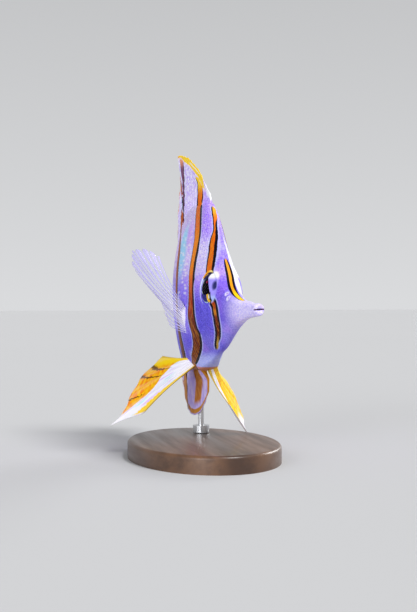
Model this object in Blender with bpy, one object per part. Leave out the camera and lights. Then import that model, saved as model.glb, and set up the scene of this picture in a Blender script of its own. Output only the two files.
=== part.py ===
"""A life-size still model of a copperband butterflyfish on a plain display stand.

The fish is first laid out straight, in hundredths of its total length: a station runs
back from the tip of the snout, a side distance is positive on the fish's left, and a
height is measured from the snout's level. One function then bends that layout along
the curved spine, banks it and lifts it over the stand's base. In the world +X is
forward, +Y is the fish's left, +Z is up, and the origin is the middle of the base's
underside.
"""

import math

import bmesh
import bpy
import numpy as np
from mathutils import Matrix, Vector

# Driving dimensions, in metres and degrees
TOTAL_LENGTH = 0.140
UNIT = TOTAL_LENGTH / 100
GAP = 0.0003
HEAD_TURN = 7.9
TAIL_TURN = 15.0
BANK = 2.7

# Spine, in stations
SPINE_MIDDLE = 45.0
TAIL_BEND_START = 60.0
TAIL_BEND_POWER = 1.3

# Body: station, back, belly, half width, height of the widest line
PROFILE = (
    (0.0, 0.50, -1.10, 0.85, -0.20),
    (0.4, 0.98, -1.72, 1.28, -0.20),
    (1.1, 1.24, -1.84, 1.36, -0.20),
    (2.6, 1.18, -2.00, 1.22, -0.20),
    (6.0, 1.68, -2.26, 1.44, -0.30),
    (10.0, 2.08, -3.06, 1.90, -0.45),
    (13.5, 3.05, -4.10, 2.49, -0.50),
    (16.5, 4.58, -5.34, 2.90, -0.40),
    (19.0, 6.72, -6.66, 3.31, 0.00),
    (21.5, 10.43, -7.96, 3.75, 0.40),
    (24.0, 14.60, -9.32, 4.19, 0.60),
    (28.0, 21.70, -11.17, 4.67, 0.40),
    (31.0, 26.45, -12.20, 4.95, 0.10),
    (34.0, 28.75, -13.40, 5.50, 0.00),
    (40.0, 29.10, -15.80, 6.30, 0.20),
    (44.0, 29.40, -16.90, 6.75, 0.50),
    (48.0, 29.60, -17.70, 6.90, 0.80),
    (55.0, 29.20, -18.30, 6.40, 1.50),
    (62.0, 27.00, -18.50, 5.50, 2.00),
    (70.0, 21.80, -16.20, 4.40, 2.20),
    (78.0, 14.40, -10.80, 3.10, 1.80),
    (84.0, 7.40, -5.90, 2.15, 1.00),
    (87.5, 5.60, -4.80, 1.75, 0.50),
    (91.0, 5.60, -4.90, 1.55, 0.40),
)
# How the flanks close: 1 is an oval section, more is a sharper back or belly
BACK_SHARPNESS = ((0.0, 1.0), (12.0, 0.95), (16.0, 1.25), (20.5, 1.1), (23.5, 1.3), (28.0, 1.95),
                  (34.0, 1.65), (60.0, 1.7), (91.0, 1.1))
BELLY_SHARPNESS = ((0.0, 1.0), (8.0, 1.0), (14.0, 1.1), (22.0, 1.4), (29.0, 1.4), (36.0, 2.3), (44.0, 2.1),
                   (50.0, 1.3), (56.0, 0.75), (62.0, 0.7), (70.0, 0.9), (91.0, 1.1))
# Half width of the narrow flat along the back and along the belly
BACK_CREST = ((0.0, 0.20), (12.0, 0.45), (28.0, 0.70), (60.0, 0.75), (91.0, 0.55))
BELLY_CREST = ((0.0, 0.20), (12.0, 0.40), (29.0, 0.50), (36.0, 1.2), (43.0, 2.4), (46.0, 2.5), (49.0, 1.5),
               (53.0, 0.8), (60.0, 0.7), (91.0, 0.5))
SIDE_POINTS = 17

# Where the body is parted
GILL_CUT = 33.0
GILL_CUT_BLEND = 11.0
GILL_LINE = ((-15.0, -5.6), (-11.0, -1.6), (-7.0, 2.0), (-2.0, 3.9), (4.0, 3.2), (10.0, 0.6), (28.0, -1.6))
HEAD_STATIONS = (0, 0.35, 0.9, 1.7, 2.8, 4.5, 6.5, 8.5, 10.5, 12.5, 14.2, 15.8, 17.2, 18.4,
                 19.5, 20.6, 21.8, 23.1, 24.5, 26, 27.7, 29.5, 31.3, 33)
TRUNK_STATIONS = (33, 35, 37.5, 40.5, 44, 48, 52, 56, 60, 63.5, 67, 70.5, 73.5, 76.5, 79.5, 82.3, 84.6)
TAIL_STATIONS = (84.6, 85.9, 87.2, 88.6)

# Eyes
EYE_STATION = 25.8
EYE_HEIGHT = 5.7
EYE_RING_SIDE = 3.95
EYE_RADIUS = 4.25
EYE_BULGE = 1.15
EYE_DEPTH = 2.6
EYE_SINK = 0.20
EYE_FORWARD_TILT = 11.0
EYE_UP_TILT = 10.0
# The raised rim of the orbit: reach from the eye's axis and height above the ring's plane
ORBIT = ((0.0, -2.4), (5.25, -2.4), (5.12, -0.9), (4.86, -0.05), (4.62, 0.20), (4.34, 0.12), (3.8, -0.4),
         (0.0, -0.8))

# Mouth and nostrils
MOUTH_HEIGHT = -0.20
MOUTH_LENGTH = 2.3
MOUTH_GAPE = 0.36
NOSTRILS = ((15.8, 2.7, 0.34), (17.2, 3.9, 0.26))
NOSTRIL_DEPTH = 0.5

# Gill cover, as an outline of station and height on the flank
GILL_COVER = ((32.2, 9.3), (33.2, 9.6), (34.4, 8.0), (35.4, 4.0), (35.8, -1.0), (34.8, -5.0),
              (32.4, -8.7), (29.6, -10.1), (27.4, -8.2), (26.6, -4.2), (27.4, -1.0), (29.6, 0.8),
              (31.3, 3.2), (31.7, 6.2))
GILL_COVER_CORE = 0.80
GILL_SEAM = 0.24

# Median fins: ray number, base station, tip station, tip height
DORSAL_RAYS = ((0, 33.2, 34.0, 31.5), (1, 36.1, 38.0, 34.5), (2, 39.1, 42.0, 37.4), (5, 48.2, 54.9, 43.4),
               (8, 57.0, 65.8, 46.1), (14, 64.2, 74.8, 47.0), (20, 69.8, 80.6, 43.6),
               (26, 74.9, 84.5, 34.5), (32, 80.0, 86.5, 21.5), (36, 83.6, 86.6, 11.4))
DORSAL_SPINES = 9
ANAL_RAYS = ((0, 51.6, 52.5, -24.6), (1, 54.4, 56.6, -28.2), (2, 57.4, 61.2, -30.8),
             (6, 62.6, 68.6, -33.0), (11, 68.8, 76.4, -31.2), (17, 76.8, 83.4, -22.4),
             (22, 83.4, 85.8, -9.8))
ANAL_SPINES = 3
# How far each fin leans to the fish's left: ray number, distance
ANAL_LEAN = ((0, 1.5), (2, 1.2), (4, 0.4), (6, 0.0), (11, -0.4), (17, -0.8), (22, -0.8))
DORSAL_LEAN = ((0, 0.0), (12, 0.0), (14, 0.1), (17, 1.0), (20, 1.4), (23, 1.4), (26, 0.9), (30, 0.2), (36, 0.0))
CAUDAL_RAYS = 17
CAUDAL_ROOT = (-4.2, 4.9)
CAUDAL_SPREAD = 10.0
CAUDAL_CORNER = 98.4
CAUDAL_MIDDLE = 100.0
FIN_ROWS = (0.0, 0.07, 0.25, 0.5, 0.76, 1.0)

# Fin half thickness in metres: at the root, along the ray or membrane, and at the edge
SHEATH = 0.00125
SOFT_SHEATH = 0.00095
PAIRED_SHEATH = 0.00070
SPINE_HALF = 0.00050
RAY_HALF = 0.00042
MEMBRANE_HALF = 0.00027
EDGE_HALF = 0.00020

# Paired fins: root ends, then for some rays the tip from the root's middle,
# each as back, outward and up
PECTORAL_ROOT = ((41.6, 6.3, -0.9), (44.0, 5.9, -7.0))
PECTORAL_INWARD = (0.0, -1.3, 0.0)
PECTORAL_RAYS = 15
RIGHT_PECTORAL = ((0, 4.0, 6.2, 19.3), (2, 6.6, 10.1, 21.7), (4, 9.6, 13.0, 21.4), (6, 11.6, 12.9, 17.9),
                  (8, 14.3, 9.0, 12.2), (10, 14.4, 4.9, 7.7), (12, 13.0, 3.5, 2.5), (14, 9.8, 3.1, -0.6))
LEFT_PECTORAL = ((0, 15.6, 2.4, 10.2), (2, 20.0, 3.0, 11.0), (4, 22.4, 3.3, 9.0), (6, 22.0, 3.2, 5.4),
                 (8, 19.6, 2.8, 1.6), (11, 14.6, 2.2, -3.0), (14, 9.0, 1.5, -5.4))
RIGHT_PELVIC_ROOT = ((50.6, 3.3, -17.2), (52.6, 4.3, -15.4))
LEFT_PELVIC_ROOT = ((45.6, 0.8, -17.3), (44.4, 2.9, -16.5))
PELVIC_INWARD = (0.0, -1.0, 0.8)
PELVIC_RAYS = 6
RIGHT_PELVIC = ((0, 5.1, 13.4, -13.7), (1, 10.3, 22.6, -17.2), (2, 10.6, 19.5, -14.7),
                (3, 10.9, 16.1, -8.7), (4, 11.2, 12.4, -3.4), (5, 9.2, 6.2, 2.4))
LEFT_PELVIC = ((0, 5.7, 5.5, -12.1), (1, 13.2, 12.2, -21.4), (2, 15.4, 12.0, -17.5),
               (3, 15.7, 11.0, -14.2), (4, 14.1, 9.2, -10.0), (5, 11.9, 6.2, -5.1))
# How far the middle of each fin bows outward
RIGHT_PECTORAL_BOW = 0.9
LEFT_PECTORAL_BOW = 0.5
RIGHT_PELVIC_BOW = 0.9
LEFT_PELVIC_BOW = -0.7

# Stand, in metres
BASE_LENGTH = 0.090
BASE_WIDTH = 0.060
BASE_THICKNESS = 0.007
BASE_BEVEL = 0.0012
BASE_CLEARANCE = 38.2
ROD_RADIUS = 0.00125
ROD_STATION = 66.0
ROD_SIDE = 2.9
ROD_TOP = -12.6
COLLAR_RADIUS = 0.0035
COLLAR_HEIGHT = 0.003

LIFT = BASE_CLEARANCE * UNIT + BASE_THICKNESS
MIDDLE_OFFSET = 3.0 * UNIT


def curve(rows, column=1):
    """A smooth curve through the rows' first value and the one in the given column."""
    stations = np.array([row[0] for row in rows], float)
    values = np.array([row[column] for row in rows], float)
    steps = np.diff(stations)
    slopes = np.diff(values) / steps
    tangents = np.concatenate([slopes[:1], (slopes[:-1] + slopes[1:]) / 2, slopes[-1:]])
    turning = slopes[:-1] * slopes[1:] <= 0
    tangents[1:-1][turning] = 0
    limits = 3 * np.minimum(np.abs(slopes[:-1]), np.abs(slopes[1:]))
    tangents[1:-1] = np.clip(tangents[1:-1], -limits, limits)

    def value(station):
        piece = int(np.clip(np.searchsorted(stations, station) - 1, 0, len(steps) - 1))
        part = min(max((station - stations[piece]) / steps[piece], 0.0), 1.0)
        start = (1 + 2 * part) * (1 - part) ** 2 * values[piece]
        start += part * (1 - part) ** 2 * steps[piece] * tangents[piece]
        end = part ** 2 * (3 - 2 * part) * values[piece + 1]
        end += part ** 2 * (part - 1) * steps[piece] * tangents[piece + 1]
        return float(start + end)

    return value


BACK = curve(PROFILE, 1)
BELLY = curve(PROFILE, 2)
HALF_WIDTH = curve(PROFILE, 3)
WIDEST = curve(PROFILE, 4)
BACK_POWER = curve(BACK_SHARPNESS)
BELLY_POWER = curve(BELLY_SHARPNESS)
BACK_CREST_HALF = curve(BACK_CREST)
BELLY_CREST_HALF = curve(BELLY_CREST)
GILL_SHIFT = curve(GILL_LINE)


def smooth(low, high, value):
    """0 below low, 1 above high and an S-curve between them."""
    part = min(max((value - low) / (high - low), 0.0), 1.0)
    return part * part * (3 - 2 * part)


def spine_table():
    """Stations with the spine's place and heading at each, from its two bends."""
    stations = np.linspace(-5.0, 105.0, 881)
    head = math.radians(HEAD_TURN) * np.maximum(SPINE_MIDDLE - stations, 0) / SPINE_MIDDLE
    reach = np.maximum(stations - TAIL_BEND_START, 0) / (100 - TAIL_BEND_START)
    headings = head - math.radians(TAIL_TURN) * reach ** TAIL_BEND_POWER
    step = stations[1] - stations[0]

    def running(values):
        total = np.concatenate([[0.0], np.cumsum((values[1:] + values[:-1]) / 2 * step)])
        return total - np.interp(SPINE_MIDDLE, stations, total)

    return stations, -running(np.cos(headings)), -running(np.sin(headings)), headings


SPINE = spine_table()


def place(point):
    """The world place of a point of the straight layout (station, side, height)."""
    station, side, height = point
    stations, ahead, across, headings = SPINE
    heading = float(np.interp(station, stations, headings))
    x = float(np.interp(station, stations, ahead)) - math.sin(heading) * side
    y = float(np.interp(station, stations, across)) + math.cos(heading) * side
    banked = Matrix.Rotation(math.radians(BANK), 3, "X") @ Vector((x, y, height))
    return banked * UNIT + Vector((MIDDLE_OFFSET, 0, LIFT))


def flank(station, angle):
    """Side distance and height of the body at a station, for an angle from -90 to 90 degrees."""
    middle = WIDEST(station)
    rise = math.sin(angle)
    reach = max(math.cos(angle), 0.0)
    if rise > 0:
        height = middle + (BACK(station) - middle) * rise
        power = BACK_POWER(station)
        crest = BACK_CREST_HALF(station)
    else:
        height = middle + (middle - BELLY(station)) * rise
        power = BELLY_POWER(station)
        crest = BELLY_CREST_HALF(station)
    return crest + (HALF_WIDTH(station) - crest) * reach ** power, height


def side_at(station, height):
    """The body's half width at a station and height."""
    middle = WIDEST(station)
    span = BACK(station) - middle if height > middle else middle - BELLY(station)
    rise = max(-1.0, min(1.0, (height - middle) / span))
    return flank(station, math.asin(rise))[0]


def body_ring(station, part=0.0):
    """The points of the body round one station, left side up and right side down.

    Near the gill cut the ring leans with the gill opening's line; part moves it along
    the spine by half of the parting gap.
    """
    blend = max(0.0, 1 - abs(station - GILL_CUT) / GILL_CUT_BLEND)
    left = []
    for step in range(SIDE_POINTS):
        angle = math.radians(-90 + 180 * step / (SIDE_POINTS - 1))
        height = flank(station, angle)[1]
        shifted = station + blend * GILL_SHIFT(height) + part
        side, height = flank(shifted, angle)
        left.append((shifted, side, height))
    right = [(station, -side, height) for station, side, height in reversed(left)]
    return left + right


def link(name, mesh):
    """A new object with the mesh, in the scene."""
    body = bpy.data.objects.new(name, mesh)
    bpy.context.scene.collection.objects.link(body)
    return body


def solid(name, points, faces, straight=True):
    """An object of the given points and faces, bent along the spine where they are straight."""
    mesh = bpy.data.meshes.new(name)
    mesh.from_pydata([place(point) for point in points] if straight else points, [], faces)
    mesh.update()
    shape = bmesh.new()
    shape.from_mesh(mesh)
    bmesh.ops.recalc_face_normals(shape, faces=shape.faces)
    shape.to_mesh(mesh)
    shape.free()
    return link(name, mesh)


def loft(name, rings):
    """A closed body through rings whose two ends are closed from side to side."""
    count = len(rings[0])
    points = [point for ring in rings for point in ring]
    faces = []
    for row in range(len(rings) - 1):
        for step in range(count):
            after = (step + 1) % count
            near, far = row * count, (row + 1) * count
            faces.append((near + step, near + after, far + after, far + step))
    for start in (0, (len(rings) - 1) * count):
        for step in range(count // 2 - 1):
            opposite = count - 1 - step
            faces.append((start + step, start + step + 1, start + opposite - 1, start + opposite))
    return solid(name, points, faces)


def body_length(name, stations, front=0.0, back=0.0):
    """A length of the body between two cuts, drawn back from each by half a gap."""
    rings = [body_ring(station) for station in stations]
    if front:
        rings[0] = body_ring(stations[0], front)
    if back:
        rings[-1] = body_ring(stations[-1], -back)
    return loft(name, rings)


def swollen_body(name, distance):
    """The whole body with its skin moved out by a distance in metres, as a cutter."""
    stations = HEAD_STATIONS[:-1] + TRUNK_STATIONS[:-1] + TAIL_STATIONS
    body = loft(name, [body_ring(station) for station in stations])
    normals = [vertex.normal.copy() for vertex in body.data.vertices]
    for vertex, normal in zip(body.data.vertices, normals):
        vertex.co += normal * distance
    return body


def split_in_triangles(body):
    """Splits every face in triangles, so that each is flat."""
    shape = bmesh.new()
    shape.from_mesh(body.data)
    bmesh.ops.triangulate(shape, faces=shape.faces)
    shape.to_mesh(body.data)
    shape.free()


def combine(target, cutter, operation="DIFFERENCE", solver="EXACT"):
    """Joins or cuts the target with the cutter, then removes the cutter."""
    split_in_triangles(target)
    split_in_triangles(cutter)
    modifier = target.modifiers.new("combine", "BOOLEAN")
    modifier.operation = operation
    modifier.solver = solver
    modifier.object = cutter
    cutter.hide_render = True
    cutter.display_type = "WIRE"
    bpy.context.view_layer.update()
    depsgraph = bpy.context.evaluated_depsgraph_get()
    shape = bpy.data.meshes.new_from_object(target.evaluated_get(depsgraph))
    target.modifiers.clear()
    target.data = shape
    bpy.data.objects.remove(cutter)


def keep_largest(target):
    """Drops every loose scrap but the largest closed surface."""
    shape = bmesh.new()
    shape.from_mesh(target.data)
    left = set(shape.verts)
    groups = []
    while left:
        group = set()
        edge = [left.pop()]
        while edge:
            vertex = edge.pop()
            group.add(vertex)
            for near in vertex.link_edges:
                other = near.other_vert(vertex)
                if other in left:
                    left.remove(other)
                    edge.append(other)
        groups.append(group)
    groups.sort(key=len)
    for group in groups[:-1]:
        bmesh.ops.delete(shape, geom=list(group), context="VERTS")
    shape.to_mesh(target.data)
    shape.free()


def fin_sheet(name, columns, point, half, facing):
    """A closed fin over a grid of columns and rows, split alike on both faces.

    point gives a place of the middle surface, half the half thickness in metres and
    facing the direction that a column's faces look in.
    """
    rows = FIN_ROWS
    faces = ([], [])
    for column in columns:
        for row in rows:
            centre = Vector(point(column, row))
            reach = Vector(facing(column)) * (half(column, row) / UNIT)
            faces[0].append(tuple(centre + reach))
            faces[1].append(tuple(centre - reach))
    points = faces[0] + faces[1]
    other = len(faces[0])
    long, wide = len(rows), len(columns)
    triangles = []

    def quad(first, second, third, fourth):
        triangles.append((first, second, third))
        triangles.append((first, third, fourth))

    for column in range(wide - 1):
        for row in range(long - 1):
            first = column * long + row
            corners = (first, first + 1, first + long + 1, first + long)
            quad(*corners)
            back = [corner + other for corner in corners]
            triangles.append((back[0], back[2], back[1]))
            triangles.append((back[0], back[3], back[2]))
    rim = [row for row in range(long)]
    rim += [column * long + long - 1 for column in range(1, wide)]
    rim += [(wide - 1) * long + row for row in range(long - 2, -1, -1)]
    rim += [column * long for column in range(wide - 2, 0, -1)]
    for place_in_rim, corner in enumerate(rim):
        after = rim[(place_in_rim + 1) % len(rim)]
        quad(corner, corner + other, after + other, after)
    return solid(name, points, triangles)


def ray_columns(count):
    """A column on each ray and one on the membrane between two rays."""
    return [number / 2 for number in range(2 * count - 1)]


def on_ray(column):
    """1 on a ray, 0 halfway between two rays."""
    return 1 - 2 * abs(column - round(column))


def sideways(column):
    """The faces of the median fins look left and right."""
    return 0.0, 1.0, 0.0


def fin_half(sheath, ray_half):
    """Half thickness that falls from the root's sheath to the edge, with raised rays."""
    def half(column, row):
        row = min(max(row, 0.0), 1.0)
        ray = on_ray(column)
        thin = MEMBRANE_HALF + (ray_half - MEMBRANE_HALF) * ray
        edge = EDGE_HALF + (thin - EDGE_HALF) * min(1.0, (1 - row) * 3)
        root = max(0.0, 1 - row / 0.45) ** 2
        return edge + (sheath - edge) * root
    return half


def median_fin(name, rows, spines, root_height, away, sheath, lean_sideways):
    """The dorsal or anal fin: spines with notched membranes, then soft rays."""
    base = curve(rows, 1)
    tip_station = curve(rows, 2)
    tip_height = curve(rows, 3)
    count = rows[-1][0] + 1
    gap = away * (GAP / UNIT)

    def point(column, row):
        start = base(column)
        notch = 1.0
        if on_ray(column) < 0.5:
            notch = 0.975 if column < spines - 1 else 0.99
        foot = root_height(start) + gap
        lean = 0.10 * math.sin(math.pi * min(max(row, 0.0), 1.0)) * (tip_height(column) - foot) * away
        station = start + (tip_station(column) - start) * row * notch - lean * 0.35
        side = lean_sideways(column) * smooth(0.0, 0.5, row)
        return station, side, foot + (tip_height(column) - foot) * row * notch

    spiny = fin_half(sheath, SPINE_HALF)
    soft = fin_half(sheath, RAY_HALF)

    def half(column, row):
        return spiny(column, row) if column < spines else soft(column, row)

    return fin_sheet(name, ray_columns(count), point, half, sideways)


def caudal_fin(name):
    """The tail fin, a fan of rays with a nearly straight rear edge."""
    last = CAUDAL_RAYS - 1
    start = TAIL_STATIONS[-1] + GAP / UNIT

    def point(column, row):
        part = 2 * column / last - 1
        root = (CAUDAL_ROOT[0] + CAUDAL_ROOT[1]) / 2 + part * (CAUDAL_ROOT[1] - CAUDAL_ROOT[0]) / 2
        end = CAUDAL_MIDDLE - (CAUDAL_MIDDLE - CAUDAL_CORNER) * part ** 2
        end -= 0.25 * (1 - on_ray(column))
        spread = part * CAUDAL_SPREAD
        return start + (end - start) * row, 0.0, root + (spread - root) * row ** 0.9 if row > 0 else root

    half = fin_half(SOFT_SHEATH, RAY_HALF)
    return fin_sheet(name, ray_columns(CAUDAL_RAYS), point, half, sideways)


def paired_fin(name, side, tips, bow, root, inward, count, cutter):
    """A pectoral or pelvic fin: rays that fan out from a short root on the flank."""
    back, out, up = curve(tips, 1), curve(tips, 2), curve(tips, 3)
    first, last = Vector(root[0]), Vector(root[1])
    middle = (first + last) / 2

    def point(column, row):
        sunk = first.lerp(last, column / (count - 1)) + Vector(inward)
        notch = 1.0 if on_ray(column) > 0.5 else 0.95
        tip = middle + Vector((back(column), out(column), up(column))) * notch
        centre = sunk + (tip - sunk) * row
        return centre[0], side * (centre[1] + bow * math.sin(math.pi * row)), centre[2]

    def direction(column):
        column = min(max(column, 0.0), count - 1.0)
        return Vector((back(column), out(column), up(column))).normalized()

    def facing(column):
        turn = direction(column + 0.5) - direction(column - 0.5)
        normal = direction(column).cross(turn).normalized()
        return normal[0], side * normal[1], normal[2]

    half = fin_half(PAIRED_SHEATH, RAY_HALF)
    fin = fin_sheet(name, ray_columns(count), point, half, facing)
    combine(fin, cutter)
    keep_largest(fin)
    return fin


def eye_frame(side):
    """Centre of the orbit's ring and a turn whose +Z looks out of the eye, in the straight layout."""
    forward = math.radians(EYE_FORWARD_TILT)
    upward = math.radians(EYE_UP_TILT)
    out = Vector((-math.sin(forward), side * math.cos(forward) * math.cos(upward), math.sin(upward)))
    turn = out.to_track_quat("Z", "Y").to_matrix()
    return Vector((EYE_STATION, side * EYE_RING_SIDE, EYE_HEIGHT)), turn


def eyeball(name, side, growth=0.0):
    """A round eye that bulges less than it is deep; growth swells it for its socket."""
    centre, turn = eye_frame(side)
    shape = bmesh.new()
    bmesh.ops.create_uvsphere(shape, u_segments=24, v_segments=12, radius=1)
    points = []
    for vertex in shape.verts:
        depth = EYE_BULGE if vertex.co.z > 0 else EYE_DEPTH
        local = Vector((vertex.co.x * (EYE_RADIUS + growth), vertex.co.y * (EYE_RADIUS + growth),
                        vertex.co.z * (depth + growth) - EYE_SINK))
        points.append(tuple(centre + turn @ local))
    shape.verts.index_update()
    faces = [tuple(vertex.index for vertex in face.verts) for face in shape.faces]
    shape.free()
    return solid(name, points, faces)


def orbit_rim(side):
    """The raised ring of skin round the eye, turned from its outline of reach and depth."""
    centre, turn = eye_frame(side)
    around = 30
    rings = ORBIT[1:-1]
    points = [tuple(centre + turn @ Vector((0, 0, ORBIT[0][1])))]
    for reach, depth in rings:
        for step in range(around):
            angle = 2 * math.pi * step / around
            local = Vector((reach * math.cos(angle), reach * math.sin(angle), depth))
            points.append(tuple(centre + turn @ local))
    points.append(tuple(centre + turn @ Vector((0, 0, ORBIT[-1][1]))))
    faces = []
    for step in range(around):
        after = (step + 1) % around
        faces.append((0, 1 + after, 1 + step))
        for row in range(len(rings) - 1):
            near, far = 1 + row * around, 1 + (row + 1) * around
            faces.append((near + step, near + after, far + after, far + step))
        outer = 1 + (len(rings) - 1) * around
        faces.append((outer + step, outer + after, len(points) - 1))
    return solid("rim", points, faces)


def mouth_cutter():
    """A thin wedge that parts the lips at the tip of the snout."""
    points = []
    for station, half in ((-0.6, MOUTH_GAPE), (MOUTH_LENGTH, MOUTH_GAPE * 0.35)):
        for side in (-3.0, 3.0):
            points.append((station, side, MOUTH_HEIGHT - half))
            points.append((station, side, MOUTH_HEIGHT + half))
    faces = [(0, 1, 3, 2), (4, 6, 7, 5), (0, 4, 5, 1), (2, 3, 7, 6), (0, 2, 6, 4), (1, 5, 7, 3)]
    return solid("mouth", points, faces)


def nostril_cutter(side, station, height, radius):
    """A small round pit in the side of the snout."""
    skin = side_at(station, height)
    points = []
    sides = 10
    for depth in (-NOSTRIL_DEPTH, 0.6):
        for step in range(sides):
            angle = 2 * math.pi * step / sides
            points.append((station + radius * math.cos(angle), side * (skin + depth),
                           height + radius * math.sin(angle)))
    faces = [tuple(range(sides)), tuple(range(sides, 2 * sides))]
    for step in range(sides):
        after = (step + 1) % sides
        faces.append((step, after, sides + after, sides + step))
    return solid("nostril", points, faces)


def gill_prism(side, shrink):
    """The gill cover's outline carried out sideways, drawn in by a distance."""
    outline = [Vector((station, height)) for station, height in GILL_COVER]
    middle = sum(outline, Vector((0, 0))) / len(outline)
    rounded = []
    for step, corner in enumerate(outline):
        after = outline[(step + 1) % len(outline)]
        rounded.append(corner)
        before = outline[step - 1]
        beyond = outline[(step + 2) % len(outline)]
        rounded.append((corner + after) * 0.5625 - (before + beyond) * 0.0625)
    drawn = [corner - (corner - middle).normalized() * shrink for corner in rounded]
    count = len(drawn)
    points = [(corner[0], side * 2.0, corner[1]) for corner in drawn]
    points += [(corner[0], side * 12.0, corner[1]) for corner in drawn]
    faces = [tuple(range(count)), tuple(range(count, 2 * count))]
    for step in range(count):
        after = (step + 1) % count
        faces.append((step, after, count + after, count + step))
    return solid("prism", points, faces)


def core_body(width):
    """The front of the body made narrower, the floor of the gill cover's recess."""
    stations = (20, 22, 24, 26, 28, 30, 32, 34, 36, 38, 40)
    rings = []
    for station in stations:
        ring = []
        for step in range(SIDE_POINTS):
            angle = math.radians(-90 + 180 * step / (SIDE_POINTS - 1))
            side, height = flank(station, angle)
            ring.append((station, side * width, height))
        rings.append(ring + [(station, -side, height) for station, side, height in reversed(ring)])
    return loft("core", rings)


def gill_recess(side):
    """What the head loses for its gill cover."""
    recess = gill_prism(side, 0.0)
    combine(recess, core_body(GILL_COVER_CORE))
    keep_largest(recess)
    return recess


def gill_cover(name, side):
    """One gill cover: a plate cut from the head's own surface."""
    plate = body_length(name, HEAD_STATIONS, back=GAP / UNIT / 2)
    combine(plate, gill_prism(side, GILL_SEAM), "INTERSECT")
    combine(plate, core_body(GILL_COVER_CORE + 0.05))
    keep_largest(plate)
    return plate


def head(name):
    """The head: snout with lips and mouth line, nostrils, orbits and gill recesses.

    The exact solver leaves open edges after so many cuts, so these use the manifold one.
    """
    body = body_length(name, HEAD_STATIONS, back=GAP / UNIT / 2)
    for side in (1, -1):
        combine(body, orbit_rim(side), "UNION", "MANIFOLD")
    cutters = [mouth_cutter()]
    for side in (1, -1):
        cutters.append(eyeball("socket", side, GAP / UNIT))
        cutters.append(gill_recess(side))
        for station, height, radius in NOSTRILS:
            cutters.append(nostril_cutter(side, station, height, radius))
    for cutter in cutters:
        combine(body, cutter, "DIFFERENCE", "MANIFOLD")
    keep_largest(body)
    return body


def disc(name, radius, low, high, centre, sides):
    """An upright round post between two heights in metres."""
    shape = bmesh.new()
    bmesh.ops.create_cone(shape, cap_ends=True, segments=sides, radius1=radius, radius2=radius,
                          depth=high - low)
    bmesh.ops.translate(shape, verts=shape.verts, vec=(centre[0], centre[1], (low + high) / 2))
    mesh = bpy.data.meshes.new(name)
    shape.to_mesh(mesh)
    shape.free()
    return link(name, mesh)


def stand_base(name):
    """A flat oval plate with a small bevel round its top edge."""
    sides = 64
    body = disc(name, 0.5, 0.0, BASE_THICKNESS, (0, 0), sides)
    for vertex in body.data.vertices:
        vertex.co.x *= BASE_LENGTH
        vertex.co.y *= BASE_WIDTH
    bevel = body.modifiers.new("edge", "BEVEL")
    bevel.width = BASE_BEVEL
    bevel.segments = 3
    bevel.limit_method = "ANGLE"
    return body


def stand_rod(name, cutter):
    """The rod from a small collar on the base up to the lower flank, beside the anal fin."""
    foot = place((ROD_STATION, ROD_SIDE, ROD_TOP))
    low = BASE_THICKNESS + GAP
    body = disc(name, ROD_RADIUS, low, foot.z, foot, 16)
    collar = disc("collar", COLLAR_RADIUS, low, low + COLLAR_HEIGHT, foot, 24)
    combine(body, collar, "UNION")
    combine(body, cutter)
    keep_largest(body)
    return body


def finish(body, colour, roughness, metallic=0.0):
    """Gives a body its material and smooth shading with sharp edges kept."""
    material = bpy.data.materials.new(body.name)
    material.use_nodes = True
    shader = material.node_tree.nodes["Principled BSDF"]
    shader.inputs["Base Color"].default_value = (*colour, 1.0)
    shader.inputs["Roughness"].default_value = roughness
    shader.inputs["Metallic"].default_value = metallic
    body.data.materials.clear()
    body.data.materials.append(material)
    body.data.shade_smooth()
    body.data.set_sharp_from_angle(angle=math.radians(35))


SILVER = (0.78, 0.76, 0.84)
ORANGE = (0.85, 0.30, 0.04)
YELLOW = (0.95, 0.70, 0.12)
CLEAR = (0.80, 0.82, 0.88)
BLACK = (0.02, 0.02, 0.03)
WOOD = (0.20, 0.10, 0.05)
STEEL = (0.60, 0.60, 0.62)


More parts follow.
